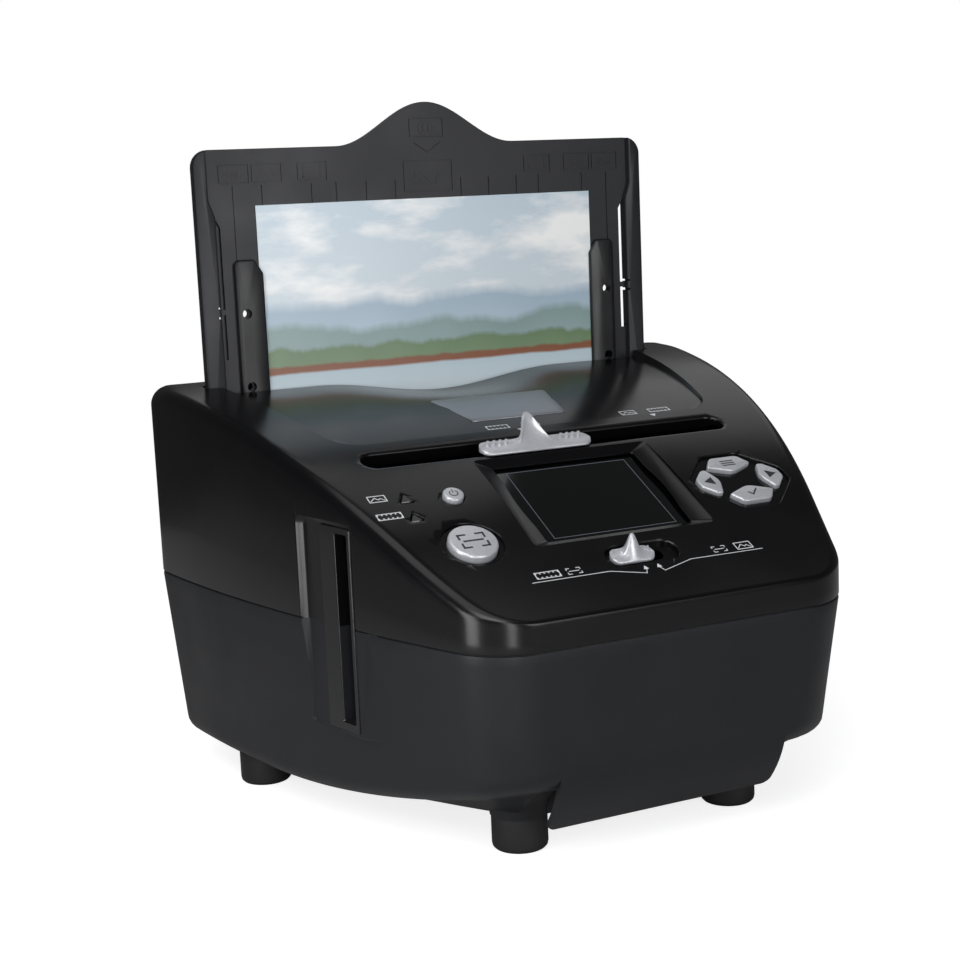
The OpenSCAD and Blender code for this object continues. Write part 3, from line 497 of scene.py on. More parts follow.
def dip(x, y):
    d = dipSet
    if abs(x) >= d["half"]:
        return 0.0
    return d["depth"] * math.cos(math.pi * x / d["half"] / 2) ** 2 * smoothStep(d["start"], d["full"], y)


def fullRing(path, z):
    # a closed ring from a right-hand path: front row, right side, rear row, left side
    n = shellSet["columns"]
    (x0, y0), (x1, y1) = path[0], path[-1]
    front = [(-x0 + 2 * x0 * i / n, y0) for i in range(n)]
    rear = [(x1 - 2 * x1 * i / n, y1) for i in range(n)]
    loop = front + path[:-1] + rear + [(-x, y) for x, y in reversed(path[1:])]
    return [toWorld(x, y, z(x, y)) for x, y in loop]


def skin(paths, heights, capZ):
    # nested rings from the parting line inwards, closed by rows across the innermost one
    n = shellSet["columns"]
    rings = [fullRing(p, z) for p, z in zip(paths, heights)]
    verts, faces = loftRings(rings, capStart=False, capEnd=False)
    size = len(rings[0])
    last = (len(paths) - 1) * size
    inner = paths[-1]
    m = len(inner) - 1
    rowIds = []
    for j, (x, y) in enumerate(inner):
        right, left = last + n + j, last + (size - j) % size
        if j == 0:
            rowIds.append([last + i for i in range(n)] + [last + n])
        elif j == m:
            rowIds.append([last + n + m + i for i in range(n + 1)][::-1])
        else:
            ids = [left]
            for i in range(1, n):
                px = -x + 2 * x * i / n
                ids.append(len(verts))
                verts.append(toWorld(px, y, capZ(px, y)))
            rowIds.append(ids + [right])
    for a, b in zip(rowIds[:-1], rowIds[1:]):
        for i in range(n):
            faces.append((a[i], a[i + 1], b[i + 1], b[i]))
    return verts, faces, size


def closedShell(outer, inner):
    (v1, f1, size), (v2, f2, _) = outer, inner
    base = len(v1)
    faces = f1 + [tuple(i + base for i in f) for f in f2]
    for i in range(size):
        j = (i + 1) % size
        faces.append((i, j, base + j, base + i))
    return v1 + v2, faces


def upperSkin(inset, sink):
    parting = bodySize["parting"]
    insets = [0, 0.06, 0.2, 0.45, 0.8, 1.3, 2.0, 2.9, 4.0, 5.6, 8.0]  # nested rings over the rounded edge

    def top(d):
        return lambda x, y: max(parting + 1.0,
            topZ(y) - edgeDrop(d, edgeRadius(y)) - dip(x, y) - sink(y))
    rim, start = top(0), parting + groove[-1][1]
    paths = [planPath(inset + d) for d, rise in groove]
    heights = [(lambda x, y, rise=rise: parting + rise) for d, rise in groove]
    for k in (0.3, 0.6, 0.85):
        paths.append(planPath(inset))
        heights.append(lambda x, y, k=k: start + (rim(x, y) - start) * k)
    paths += [planPath(inset + d) for d in insets]
    return skin(paths, heights + [top(d) for d in insets], top(99))


def feedDepth(y):
    f = feedSet
    share = min(1.0, max(0.0, (y - f["front"]) / (f["rear"] - f["front"])))
    return f["shallow"] + (f["deep"] - f["shallow"]) * share


def feedCutter():
    # the sunk feed area: a rolled lip along its sides and front, and a floor that follows the finger dip
    f, r = feedSet, feedSet["corner"]
    ys = [f["front"] + (f["rear"] - f["front"]) * i / 40 for i in range(41)]

    def path(grow):
        points = []
        for a in [math.radians(90 * i / 8) for i in range(9)]:
            y = f["front"] + r * (1 - math.cos(a))
            points.append((halfWidth(y) - f["side"] - r * (1 - math.sin(a)), y, math.sin(a), -math.cos(a)))
        points += [(halfWidth(y) - f["side"], y, 1.0, -0.3) for y in ys if y > f["front"] + r + 0.5]
        return [(x + grow * nx, max(f["front"] - grow, y + grow * ny) if y < f["rear"] - 1 else y + 1.0)
            for x, y, nx, ny in points]

    def level(n):
        if n > 0:
            return lambda x, y: topZ(y) - dip(x, y) * (0 if n > 1 else 1) + n
        return lambda x, y: topZ(y) - dip(x, y) + n * feedDepth(y)
    rows = [(1.8, 3.0), (1.25, 0.12), (0.95, -0.22), (0.6, -0.55), (0.3, -0.82), (0.0, -1.0)]
    paths = [path(g) for g, n in rows]
    return joined([skin(paths, [level(n) for g, n in rows], level(-1.0))[:2],
        skin(paths[:1], [level(3.0)], level(3.0))[:2]])


clusterSet = dict(left=(-60.0, 50.0), right=(60.0, 53.0), scan=(2.5, -12.4), power=(6.5, 13.9),
    photoLed=(-10.7, 15.6), filmLed=(-11.4, 4.7), scanSize=17.6, powerSize=7.6, ledSize=6.0, gap=0.35,
    proud=1.4)
lcdSet = dict(y=58.0, width=73.0, height=54.0, openWidth=58.5, openHeight=46.0, pocket=2.2)
slotSet = dict(length=152.4, width=10.4, y=89.3)
switchSet = dict(x=0.0, y=24.6, length=28.0, width=10.6, recess=1.8, holeLength=17.0, holeWidth=5.8)
traySlotSet = dict(half=102.2, front=186.6, back=192.8)
padSet = dict(inner=84.4, ramp=10.0, flush=92.3, slope=0.2155, front=62.7, rear=91.0, low=41.0, high=117.0,
    wall=2.5, under=5.5, cutFront=50.0)
filmSet = dict(y=68.9, width=7.6, low=46.0, high=113.0)
leftPatch, rightPatch = Patch(*clusterSet["left"]), Patch(*clusterSet["right"])

# the keys' corners as (u, v, radius): two shapes, and each is turned half round for its opposite key
endKey = [(-6.0, 13.6, 3.2), (6.0, 13.6, 3.2), (9.6, 8.4, 0.8), (0.0, 4.4, 6.0), (-9.6, 8.4, 0.8)]
sideKey = [(11.4, 7.0, 0.8), (13.6, 7.0, 2.4), (18.2, 2.2, 3.0), (18.2, -2.2, 3.0), (13.6, -7.0, 2.4),
    (11.4, -7.0, 0.8), (8.6, 0.0, 6.0)]
keyShapes = dict(mode=(endKey, 1), enter=(endKey, -1), right=(sideKey, 1), left=(sideKey, -1))
keyField = [(-7.5, 16.4), (7.5, 16.4), (20.0, 4.0), (20.0, -4.0), (7.5, -16.4), (-7.5, -16.4), (-20.0, -4.0),
    (-20.0, 4.0)]


def keyOutline(kind):
    corners, side = keyShapes[kind]
    return ccw(roundCorners([(side * u, side * v) for u, v, r in corners], [r for u, v, r in corners]))


def ledOutline():
    r = clusterSet["ledSize"] / 2
    corners = [(r * math.cos(math.radians(a)), r * math.sin(math.radians(a))) for a in (210, 330, 90)]
    return roundCorners(corners, 0.5, 3)


def wallLean(z):
    return lowSet["lean"] * max(0.0, bodySize["parting"] - z) / lowSet["leanHeight"]


def padFace(y):
    return padSet["flush"] + padSet["slope"] * (y - padSet["front"])


def padBlock(levels, reach):
    # solid behind the flat pad: a ramp leads up to its front, and it falls behind the wall towards its rear
    p = padSet
    loops = []
    for z, shrink in levels:
        front, rear = p["front"] + 0.4 * shrink, p["rear"] + p["wall"]
        ramp, out = front - p["ramp"], reach - shrink
        ring = [(p["inner"], ramp), (halfWidth(ramp) - wallLean(z) - 0.3, ramp),
            (padFace(front) + out, front), (padFace(rear) + out, rear), (p["inner"], rear)]
        loops.append([(x, y, min(z, topZ(y) - p["under"])) for x, y in ring])
    return [loftRings([[toWorld(s * x, y, z) for x, y, z in loop] for loop in loops]) for s in (1, -1)]


def padCut():
    # everything outside the pad's plane goes, up to a rear step that leans out to the wall with soft edges
    p, start = padSet, padSet["cutFront"]
    steps = [(0.0, 90.2, 0.0), (0.15, 91.0, 0.15), (0.6, 91.6, 0.4), (1.6, 92.5, 0.8), (2.3, 93.1, 1.2),
        (2.9, 94.0, 1.8), (30.0, 97.0, 6.0)]  # how far out, where the rear edge is, and the growth in height
    sides = []
    for s in (1, -1):
        rings = []
        for out, rear, grow in steps:
            ring = rectangle(rear - start, p["high"] - p["low"] + 2 * grow, 3.0 + grow)
            ring = shifted(ring, (rear + start) / 2, (p["high"] + p["low"]) / 2)
            rings.append([toWorld(s * (padFace(y) + out), y, z) for y, z in ring])
        sides.append(loftRings(rings))
    return sides


def filmCut():
    f = filmSet
    return boxMesh((-150, 150), (f["y"] - f["width"] / 2, f["y"] + f["width"] / 2), (f["low"], f["high"]))


def makeUpperHousing():
    outer = upperSkin(0.0, lambda y: 0.0)
    inner = upperSkin(shellSet["wall"],
        lambda y: feedSet["roof"] + feedSet["pan"] * smoothStep(*feedSet["panFade"], y))
    shell = newPiece("upperShell", *closedShell(outer, inner), look["upper"], "case", "upper_housing")
    levels = [(bodySize["parting"], 0.0), (padSet["high"] + padSet["wall"], 0.0)]
    cutAway(shell, padBlock(levels, -0.4), "UNION")
    cutAway(shell, padCut() + [filmCut(), feedCutter()])

    t, s, w, c = traySlotSet, lcdSet, switchSet, clusterSet
    mouth = rectangle(2 * t["half"], t["back"] - t["front"], 0.8, 4)
    mouthRows = [(0.5, 3.0), (0.35, 0.0), (0.1, -0.35), (0.0, -0.8), (0.0, -22.0)]
    long, switch, lcd = Patch(0, slotSet["y"]), Patch(w["x"], w["y"]), Patch(0, s["y"])
    cutAway(shell, [layered(mouth, Patch(0, (t["front"] + t["back"]) / 2).wrap, mouthRows),
        layered(pill(slotSet["length"], slotSet["width"]), long.wrap, lipProfile(1.1, 9.0)),
        layered(pill(w["length"], w["width"]), switch.wrap, lipProfile(0.9, w["recess"])),
        layered(pill(w["holeLength"], w["holeWidth"]), switch.wrap, [(0, 2), (0, -8)])])

    # the display's frame, then the slope in to its opening, as (width, height, corner, n)
    w, h, floor = s["openWidth"], s["openHeight"], -s["pocket"]
    frameRows = ((0, 2.4, 2.0), (0.2, 2.2, 0.1), (1.2, 1.8, -0.3))
    lcdRows = [(s["width"] - d, s["height"] - d, r, n) for d, r, n in frameRows]
    lcdRows += [(w + 1.6, h + 0.6, 1.4, floor + 0.2), (w + 0.5, h + 0.2, 1.2, floor),
        (w, h, 1.0, floor - 0.5), (w, h, 1.0, -9.0)]
    cutAway(shell, [loftRings([[lcd.wrap(u, v, n) for u, v in rectangle(w, h, r)]
        for w, h, r, n in lcdRows])])

    def hole(outline, place, lip):
        return layered(growOutline(shifted(outline, *place), c["gap"]), leftPatch.wrap, lipProfile(lip, 9.0))
    well = shifted(disc(c["scanSize"] + 4.6), *c["scan"])
    cutAway(shell, [layered(well, leftPatch.wrap, lipProfile(0.6, 0.9)),
        hole(disc(c["scanSize"]), c["scan"], 0.2), hole(disc(c["powerSize"], 32), c["power"], 0.5),
        hole(ledOutline(), c["photoLed"], 0.3), hole(ledOutline(), c["filmLed"], 0.3)])
    cutAway(shell, [layered(ccw(roundCorners(keyField, 5.0)), rightPatch.wrap, lipProfile(0.7, 1.1))])
    cutAway(shell, [layered(growOutline(keyOutline(k), c["gap"]), rightPatch.wrap, [(0, 1.5), (0, -9)])
        for k in keyShapes])
    softenShade(shell, 32)
    print("stage: upper housing")


lowSet = dict(lean=4.6, leanHeight=46.0, rimRise=20.0, rimLevel=130.0, base=12.5, fillet=7.0,
    bellyFront=27.0, bellyRear=12.0, bellyEdge=12.0, bellyNose=20.0, bellyLevel=150.0)
apronSet = dict(half=45.0, top=46.0, low=13.0, corner=3.0, thick=2.4, lean=4.6, leanHeight=40.5, lip=0.3,
    lipLow=40.0, lipHeight=6.0, tuck=9.5, tuckTop=38.0, tuckHeight=25.0)
footSet = dict(size=20.0, places=((-43.5, 40.8), (43.5, 40.8), (-97.0, 158.7), (97.0, 158.7)),
    boss=((10.4, 12.4), (10.8, 16), (12.5, 20), (16, 24), (21, 27), (24, 30)))
pocketSet = dict(half=49.0, front=7.0, rear=33.0, high=29.0, wall=2.5)
socketHoles = (((-74.5, -65.5), (50, 55)), ((-53, -27), (50, 54.6)))  # x and z, through the rear wall


def rimZ(y):
    return lowSet["base"] + lowSet["rimRise"] * max(0.0, 1 - y / lowSet["rimLevel"]) ** 2


def bellySide(y):
    return lowSet["bellyEdge"] + lowSet["bellyNose"] * max(0.0, 1 - y / lowSet["bellyLevel"])


def lowPath(side, front, rear):
    depth = bodySize["depth"]
    return [(x - side(y), front + (depth - front - rear) * y / depth) for x, y in planPath(0)]


def lowerSkin(wall):
    # rings from the parting line down the leaning wall, round the rim and in over the belly
    low, parting = lowSet, bodySize["parting"]
    paths, heights = [], []

    def ring(side, front, rear, z):
        paths.append(lowPath((lambda y: side(y) + wall) if callable(side) else (lambda y: side + wall),
            front + wall, rear + wall))
        heights.append(z)
    for d, rise in groove[:-1]:
        ring(d, d, d, lambda x, y, rise=rise: parting - rise * 0.7)
    for k in (0.02, 0.1, 0.25, 0.5, 0.75, 1.0):
        lean = low["lean"] * k
        ring(lean, lean, lean, lambda x, y, k=k: parting + (rimZ(y) + low["fillet"] - parting) * k)
    for i in range(1, 7):
        a = math.radians(15 * i)
        inset = low["lean"] + low["fillet"] * (1 - math.cos(a)) * (0.97 if i == 6 else 1)
        ring(inset, inset, inset,
            lambda x, y, a=a: rimZ(y) + low["fillet"] * (1 - math.sin(a)) + wall * math.sin(a))
    rim = low["lean"] + low["fillet"]
    for k in (0.25, 0.5, 0.75, 1.0):
        soft = k * k * (3 - 2 * k)
        ring(lambda y, k=k: rim + (bellySide(y) - rim) * k,
            rim + (low["bellyFront"] - rim) * k, rim + (low["bellyRear"] - rim) * k,
            lambda x, y, s=soft: wall + rimZ(y) + (low["base"] - rimZ(y)) * s)
    return skin(paths, heights, lambda x, y: low["base"] + wall)


def apronY(z):
    # the plate carries the front wall on downwards, then turns back under the machine
    a = apronSet
    return (a["lean"] * (bodySize["parting"] - z) / a["leanHeight"]
        + a["lip"] * min(1.0, max(0.0, (z - a["lipLow"]) / a["lipHeight"]))
        + a["tuck"] * max(0.0, (a["tuckTop"] - z) / a["tuckHeight"]) ** 2)


def makeApron():
    a = apronSet
    path = [(a["half"], a["top"] - (a["top"] - a["low"] - a["corner"]) * i / 12) for i in range(13)]
    path += shifted(arcPoints(0, 0, a["corner"], 0, -90, 5)[1:],
        a["half"] - a["corner"], a["low"] + a["corner"])
    section = ((1, 0.0), (-1, 0.0), (-1, a["thick"]), (1, a["thick"]))
    return loftRings([[toWorld(s * x, apronY(z) + back, z) for s, back in section] for x, z in path])


def makeLowerHousing():
    wall, p = shellSet["wall"], pocketSet
    shell = newPiece("lowerShell", *closedShell(lowerSkin(0.0), lowerSkin(wall)), look["lower"], "case",
        "lower_housing")
    # the pocket behind the apron has its own walls, which end inside the housing's skin
    reach = p["half"] + p["wall"]
    box = boxMesh((-reach, reach), (10, p["rear"] + p["wall"]), (10, p["high"] + p["wall"]))
    liner = newPiece("liner", *box, None)
    verts, faces, size = lowerSkin(wall / 2)
    combine(liner, newPiece("hull", verts, faces + [tuple(range(size))], None), "INTERSECT")
    combine(shell, liner, "UNION")
    cutAway(shell, [boxMesh((-p["half"], p["half"]), (p["front"], p["rear"]), (-5, p["high"]))])
    bosses = [turned(x, y, footSet["boss"]) for x, y in footSet["places"][:2]]
    levels = [(padSet["low"] + rise, shrink) for rise, shrink in ((0.0, 1.2), (1.0, 0.2), (1.8, 0.0))]
    levels.append((bodySize["parting"], 0.0))
    cutAway(shell, bosses + [makeApron()] + padBlock(levels, 0.3), "UNION")
    cutAway(shell, padCut() + [filmCut()] + [boxMesh(xs, (190, 230), zs) for xs, zs in socketHoles])
    softenShade(shell, 32)
    print("stage: lower housing")


# Keys and buttons
keySet = dict(top=0.4, foot=-2.8, round=0.7, scanRound=1.0, powerRound=0.8)
scanMark = dict(width=9.4, flat=0.72, arm=2.6, armFlat=0.8, line=0.75, barHalf=3.4)


def roundedKey(name, outline, place, top, edge, body):
    turns = [math.radians(a) for a in (22, 45, 68, 90)]
    rows = [(0.0, keySet["foot"]), (0.0, top - edge)]
    rows += [(-edge * (1 - math.cos(a)), top - edge * (1 - math.sin(a))) for a in turns]
    return newPiece(name, *layered(outline, place, rows), look["silver"], body, body, smooth=40)


def printed(name, shapes, place, n, body, ink="darkInk", thick=0.06):
    parts = [layered(shape, place, [(0, n), (0, n + thick)]) for shape in shapes]
    return newPiece(name, *joined(parts), look[ink], body)


def bar(u0, v0, u1, v1, width):
    d = Vector((u1 - u0, v1 - v0)).normalized() * width / 2
    return [(u0 - d.y - d.x, v0 + d.x - d.y), (u0 + d.y - d.x, v0 - d.x - d.y),
        (u1 + d.y + d.x, v1 - d.x + d.y), (u1 - d.y + d.x, v1 + d.x + d.y)]


def strokes(points, width):
    return [bar(*a, *b, width) for a, b in zip(points[:-1], points[1:])]


def barFrame(w, h, line):
    u, v = w / 2, h / 2
    return strokes([(-u, -v), (u, -v), (u, v), (-u, v), (-u, -v)], line)


def ringPart(r, line, start, stop, steps=20):
    out, inside = (arcPoints(0, 0, r + k * line / 2, start, stop, steps) for k in (1, -1))
    return [out[i:i + 2] + inside[i:i + 2][::-1] for i in range(steps)]


def makeButtons():
    c, m, k = clusterSet, scanMark, keySet
    scan = []
    for su in (-1, 1):
        for sv in (-1, 1):
            u, v = su * m["width"] / 2, sv * m["width"] / 2 * m["flat"]
            scan += [bar(u, v, u - su * m["arm"], v, m["line"]),
                bar(u, v, u, v - sv * m["arm"] * m["armFlat"], m["line"])]
    scan.append(bar(-m["barHalf"], 0, m["barHalf"], 0, m["line"]))
    power = ringPart(1.5, 0.36, 125, 415) + [bar(0, 0.5, 0, 1.9, 0.36)]
    for kind, steps, sign in (("scan", 56, scan), ("power", 40, power)):
        body, outline = kind + "_button", shifted(disc(c[kind + "Size"], steps), *c[kind])
        roundedKey(kind + "Button", outline, leftPatch.flat, c["proud"], k[kind + "Round"], body)
        printed(kind + "Sign", [shifted(s, *c[kind]) for s in sign], leftPatch.flat, c["proud"], body)
    for kind in keyShapes:
        roundedKey(kind + "Key", keyOutline(kind), rightPatch.flat, k["top"], k["round"], kind + "_key")
    signs = dict(modeSign=[bar(-2.6, 9.4 + i * 1.3, 2.6, 9.4 + i * 1.3, 0.5) for i in (-1, 0, 1)],
        enterSign=strokes([(-1.9, -9.2), (-0.6, -10.6), (2.2, -7.6)], 0.6),
        rightArrow=[ccw([(11.9, 2.3), (15.9, 0.0), (11.9, -2.3)])],
        leftArrow=[ccw([(-11.9, 2.3), (-15.9, 0.0), (-11.9, -2.3)])])
    for name, sign in signs.items():
        body = name.replace("Sign", "").replace("Arrow", "") + "_key"
        printed(name, sign, rightPatch.flat, k["top"], body)
    print("stage: keys and buttons")


# Selectors
selectorSet = dict(x=-8.0, half=23.0, endRound=4.0, front=-7.2, back=1.0, low=0.4, skin=1.7, finWidth=4.4,
    finHeight=6.6, finBack=10.5, ridge=0.7, teeth=4, toothStart=11.5, toothStep=2.5, toothHeight=1.0)
lensKnobSet = dict(x=-4.0, half=8.5, endRound=3.0, front=-3.6, back=3.2, low=-1.4, skin=0.0, finWidth=2.4,
    finHeight=5.4, finBack=3.4, ridge=0.6, teeth=3, toothStart=4.4, toothStep=1.3, toothHeight=0.6)
stemSet = dict(width=13.5, depth=4.6, corner=0.8, low=-6.0, high=0.6)


def saddleKnob(name, s, patch, body, node, steps=64):
    # a low saddle whose middle sweeps back and up into a fin, with slanted grip teeth on both wings
    front, back, skinN, ridge = s["front"], s["back"], s["skin"], s["ridge"]
    middle = (front + back) / 2
    rings = []
    for i in range(steps + 1):
        u = -s["half"] + 2 * s["half"] * i / steps
        fin = math.exp(-(abs(u) / s["finWidth"]) ** 2.2)
        skirt = math.exp(-(abs(u) / (s["finWidth"] * 2.1)) ** 2)
        over = max(0.0, abs(u) - s["half"] + s["endRound"]) / s["endRound"]
        squeeze = max(0.12, math.sqrt(max(0.0, 1 - over * over)))
        ridgeV = middle + s["finBack"] * fin
        ridgeN = skinN + s["finHeight"] * fin + 0.9 * skirt
        p = [Vector((front, skinN - 0.8)), Vector((front + 0.3, skinN + 0.4)),
            Vector((ridgeV - 4.0 * fin - 1.0, skinN + 0.6 * fin)), Vector((ridgeV - ridge, ridgeN))]
        ring = []
        for t in [k / 8 for k in range(9)]:
            ring.append(p[0] * (1 - t) ** 3 + p[1] * 3 * t * (1 - t) ** 2 + p[2] * 3 * t * t * (1 - t)
                + p[3] * t ** 3)
        heel = back + (ridgeV - back + 0.6) * min(1.0, fin * 1.4) * 0.55
        ring += [Vector((ridgeV, ridgeN + 0.35 * fin)), Vector((ridgeV + ridge, ridgeN - 0.1)),
            Vector((ridgeV + ridge * 1.2, ridgeN - 0.8 * fin)),
            Vector((heel + 0.6, skinN + 0.35 * s["finHeight"] * fin)), Vector((heel, skinN - 0.3)),
            Vector((back, s["low"])), Vector((front + 0.2, s["low"]))]
        rings.append([patch.flat(u, middle + (q.x - middle) * squeeze, q.y) for q in ring])
    newPiece(name, *loftRings(rings), look["silver"], body, node, smooth=50)
    teeth = []
    wide, lean = s["toothStep"] * 0.22, s["toothStep"] * 0.3
    toothBack, toothFront = back - 0.4, back - (back - front) * 0.42
    for side in (-1, 1):
        for k in range(s["teeth"]):
            u = side * (s["toothStart"] + k * s["toothStep"])
            loops = [[(u - wide - lean, f, n), (u + wide - lean, f, n), (u + wide + lean, b, n),
                (u - wide + lean, b, n)] for f, b, n in ((toothFront, toothBack, skinN - 0.5),
                (toothFront + 0.2, toothBack - 0.1, skinN + s["toothHeight"]))]
            teeth.append(loftRings([[patch.flat(*q) for q in loop] for loop in loops]))
    newPiece(name + "Grips", *joined(teeth), look["silver"], body)


def makeSelectors():
    s, t, w = selectorSet, stemSet, lensKnobSet
    patch = Patch(s["x"], slotSet["y"])
    saddleKnob("selectorSaddle", s, patch, "backlight", "selector_knob")
    outline = rectangle(t["width"], t["depth"], t["corner"])
    stem = layered(outline, patch.flat, [(0, t["low"]), (0, t["high"])])
    newPiece("selectorStem", *stem, look["dark"], "backlight")
    saddleKnob("lensSwitchFin", w, Patch(w["x"], switchSet["y"]), "lens_switch", "lens_switch_knob", steps=40)
    print("stage: selectors")


# Display, plate and film bezels
plateSet = dict(y=128.0, frontHalf=20.3, rearHalf=25.6, halfLength=15.0, corner=2.0, proud=0.35,
    rings=(0.85, 0.7, 0.55, 0.4, 0.25, 0.1))
# the frame line under the display glass is a painted reflection of the display's edge, not a part
edgeReflectionSet = dict(width=49.5, height=40.5, line=0.28, drop=4.4)
bezelSet = dict(front=63.2, back=81.5, low=42.6, high=115.6, proud=0.5, round=0.2)


def makeNamePlate():
    # bare, and bent to the floor of the feed area by rings that run in to its middle
    p = plateSet
    outline = ccw(roundCorners([(-p["frontHalf"], -p["halfLength"]), (p["frontHalf"], -p["halfLength"]),
        (p["rearHalf"], p["halfLength"]), (-p["rearHalf"], p["halfLength"])], p["corner"], 6))
    rows = [(0, -1.0), (0, p["proud"] - 0.25), (-0.08, p["proud"] - 0.08), (-0.3, p["proud"])]
    cosA = math.cos(topAngle(p["y"]))

    def place(u, v, n):
        return onSurface(u, p["y"] + v * cosA, n, lambda x, y: feedDepth(y) + dip(x, y))
    rings = [[place(u, v, n) for u, v in growOutline(outline, g)] for g, n in rows]
    rings += [[place(u * k, v * k, p["proud"]) for u, v in outline] for k in p["rings"]]
    verts, faces = loftRings(rings, capEnd=False)
    centre = len(verts)
    verts.append(place(0, 0, p["proud"]))
    size, last = len(outline), len(rings) - 1
    faces += [(last * size + i, last * size + (i + 1) % size, centre) for i in range(size)]
    newPiece("namePlate", verts, faces, look["plate"], "case", "name_plate", smooth=30)


def makePanelParts():
    makeNamePlate()
    s, b, f = edgeReflectionSet, bezelSet, filmSet
    # a grey frame round the display's active area: painted reflection where the display's edge catches the
    # light
    edge = barFrame(s["width"], s["height"], s["line"])
    printed("screenEdge", edge, Patch(0, lcdSet["y"]).flat, -s["drop"], "case", "paintedEdgeReflection")
    y0, y1 = f["y"] - f["width"] / 2, f["y"] + f["width"] / 2

    def rim(grow, inner):
        front, back, low, high, corner = ((y0, y1, f["low"], f["high"], 0.6) if inner
            else (b["front"], b["back"], b["low"], b["high"], 1.2))
        loop = rectangle(back - front + 2 * grow, high - low + 2 * grow, corner + grow)
        return shifted(loop, (front + back) / 2, (low + high) / 2)
    levels = [(0, False, -0.6), (0, False, b["proud"] - b["round"]), (-b["round"], False, b["proud"]),
        (0.35, True, b["proud"]), (0.05, True, b["proud"] - 0.35), (0, True, -0.6)]
    for side, name in ((1, "right"), (-1, "left")):
        rings = [[toWorld(side * (padFace(y) + n), y, z) for y, z in rim(g, inner)] for g, inner, n in levels]
        verts, faces = loftRings(rings + rings[:1], capStart=False, capEnd=False)
        newPiece(name + "FilmBezel", verts, faces, look["bezel"], "case", "film_bezel_" + name)
    print("stage: display, plate and bezels")


# Photo tray, its guides and the loaded print
traySet = dict(half=101.4, low=113.0, shoulder=248.0, hump=265.0, humpHalf=40.0, corner=7.0,
    plateFront=190.0, back=192.0, railFront=187.4, railUpper=95.8, railLower=93.5, jogHigh=228.4,
    jogLow=221.6, barTop=123.7)
sideSlot = dict(inside=91.2, outside=93.5, low=165.0, high=221.5, tabLow=182.9, tabHigh=185.0,
    notchLow=181.3, notchHigh=186.2, notch=1.3)
engraving = dict(marks=(15.0, 28.0, 41.2, 51.9, 73.1, 85.3), width=0.55, depth=0.45, top=233.6,
    shortLow=214.0, longLow=195.0, longFrom=60.0, frame=0.5, signLine=0.35, raised=0.14,
    arrow=[(-6.4, 248.4), (0, 244.0), (6.4, 248.4), (5.4, 248.4), (0, 244.8), (-5.4, 248.4)])
sizeBoxes = ((-91.0, -78.1, "4x6"), (-77.2, -64.3, "3x5"), (-57.8, -44.9, "card"), (44.9, 57.8, "card"),
    (64.3, 77.2, "3x5"), (78.1, 91.0, "4x6"))
boxRows = dict(low=234.6, high=242.0, centreHalf=11.2, centreLow=228.3, centreHigh=241.2,
    signHalf=7.8, signLow=250.4, signHigh=258.4)
guideSet = dict(inside=75.0, outside=87.0, front=187.7, low=124.0, high=204.4, pins=(153.5, 182.9), pin=3.9,
    pinX=82.9, groove=76.5, grooveFront=189.05)
backHoles = dict(x=73.7, width=5.4, corner=2.0, rows=((187.3, 199.0), (162.0, 168.8)), pinX=83.4, pin=3.0)


def hump(x):
    t = traySet
    share = math.cos(math.pi / 2 * min(1.0, abs(x) / t["humpHalf"])) ** 2
    return t["shoulder"] + (t["hump"] - t["shoulder"]) * share


def trayOutline():
    t = traySet
    top = [(x, hump(x)) for x in [t["humpHalf"] * (1 - i / 18) for i in range(37)]]
    x, z, r = t["half"] - t["corner"], t["shoulder"] - t["corner"], t["corner"]
    return ([(-t["half"], t["low"]), (t["half"], t["low"])] + arcPoints(x, z, r, 0, 90, 8) + top
        + arcPoints(-x, z, r, 90, 180, 8))


def mirrored(points, side):
    return ccw([(side * x, z) for x, z in points])


def lettering(name, text, height, place, thick):
    curve = bpy.data.curves.new(name, "FONT")
    curve.body, curve.size, curve.extrude = text, height * 1.38, thick / 2
    curve.align_x = "CENTER"
    holder = bpy.data.objects.new(name + "Curve", curve)
    bpy.context.collection.objects.link(holder)
    mesh = holder.evaluated_get(bpy.context.evaluated_depsgraph_get()).to_mesh()
    verts = [place(v.co.x, v.co.y - height / 2, v.co.z + thick / 2) for v in mesh.vertices]
    faces = [tuple(f.vertices) for f in mesh.polygons]
    bpy.data.objects.remove(holder)
    newPiece(name, verts, faces, look["tray"], "tray")


def cutSideSlots(tray):
    # a slot beside each rail with a tab half-way up; the left slot is blind, apart from its notch
    t, s = traySet, sideSlot
    inside, outside, start = s["inside"], s["outside"], s["outside"] - 0.5
    low = [(inside, s["low"]), (outside, s["low"]), (outside, s["tabLow"]), (inside, s["tabLow"])]
    high = [(inside, s["tabHigh"]), (outside, s["tabHigh"]), (outside, s["high"]), (inside, s["high"] - 4)]

    def nick(z0, z1):
        return [(start, z0), (outside + s["notch"], z0), (outside + s["notch"], z1), (start, z1)]
    notch, slit = nick(s["notchLow"], s["tabLow"] - 0.5), nick(s["tabHigh"] + 0.3, s["notchHigh"])
    for side in (1, -1):
        through, past = t["back"] + (2 if side > 0 else -0.6), t["back"] + 2
        cutAway(tray, [layered(mirrored(o, side), upright, [(0, back), (0, t["railFront"] - 1)])
            for o, back in ((low, through), (high, through), (notch, past), (slit, past))])


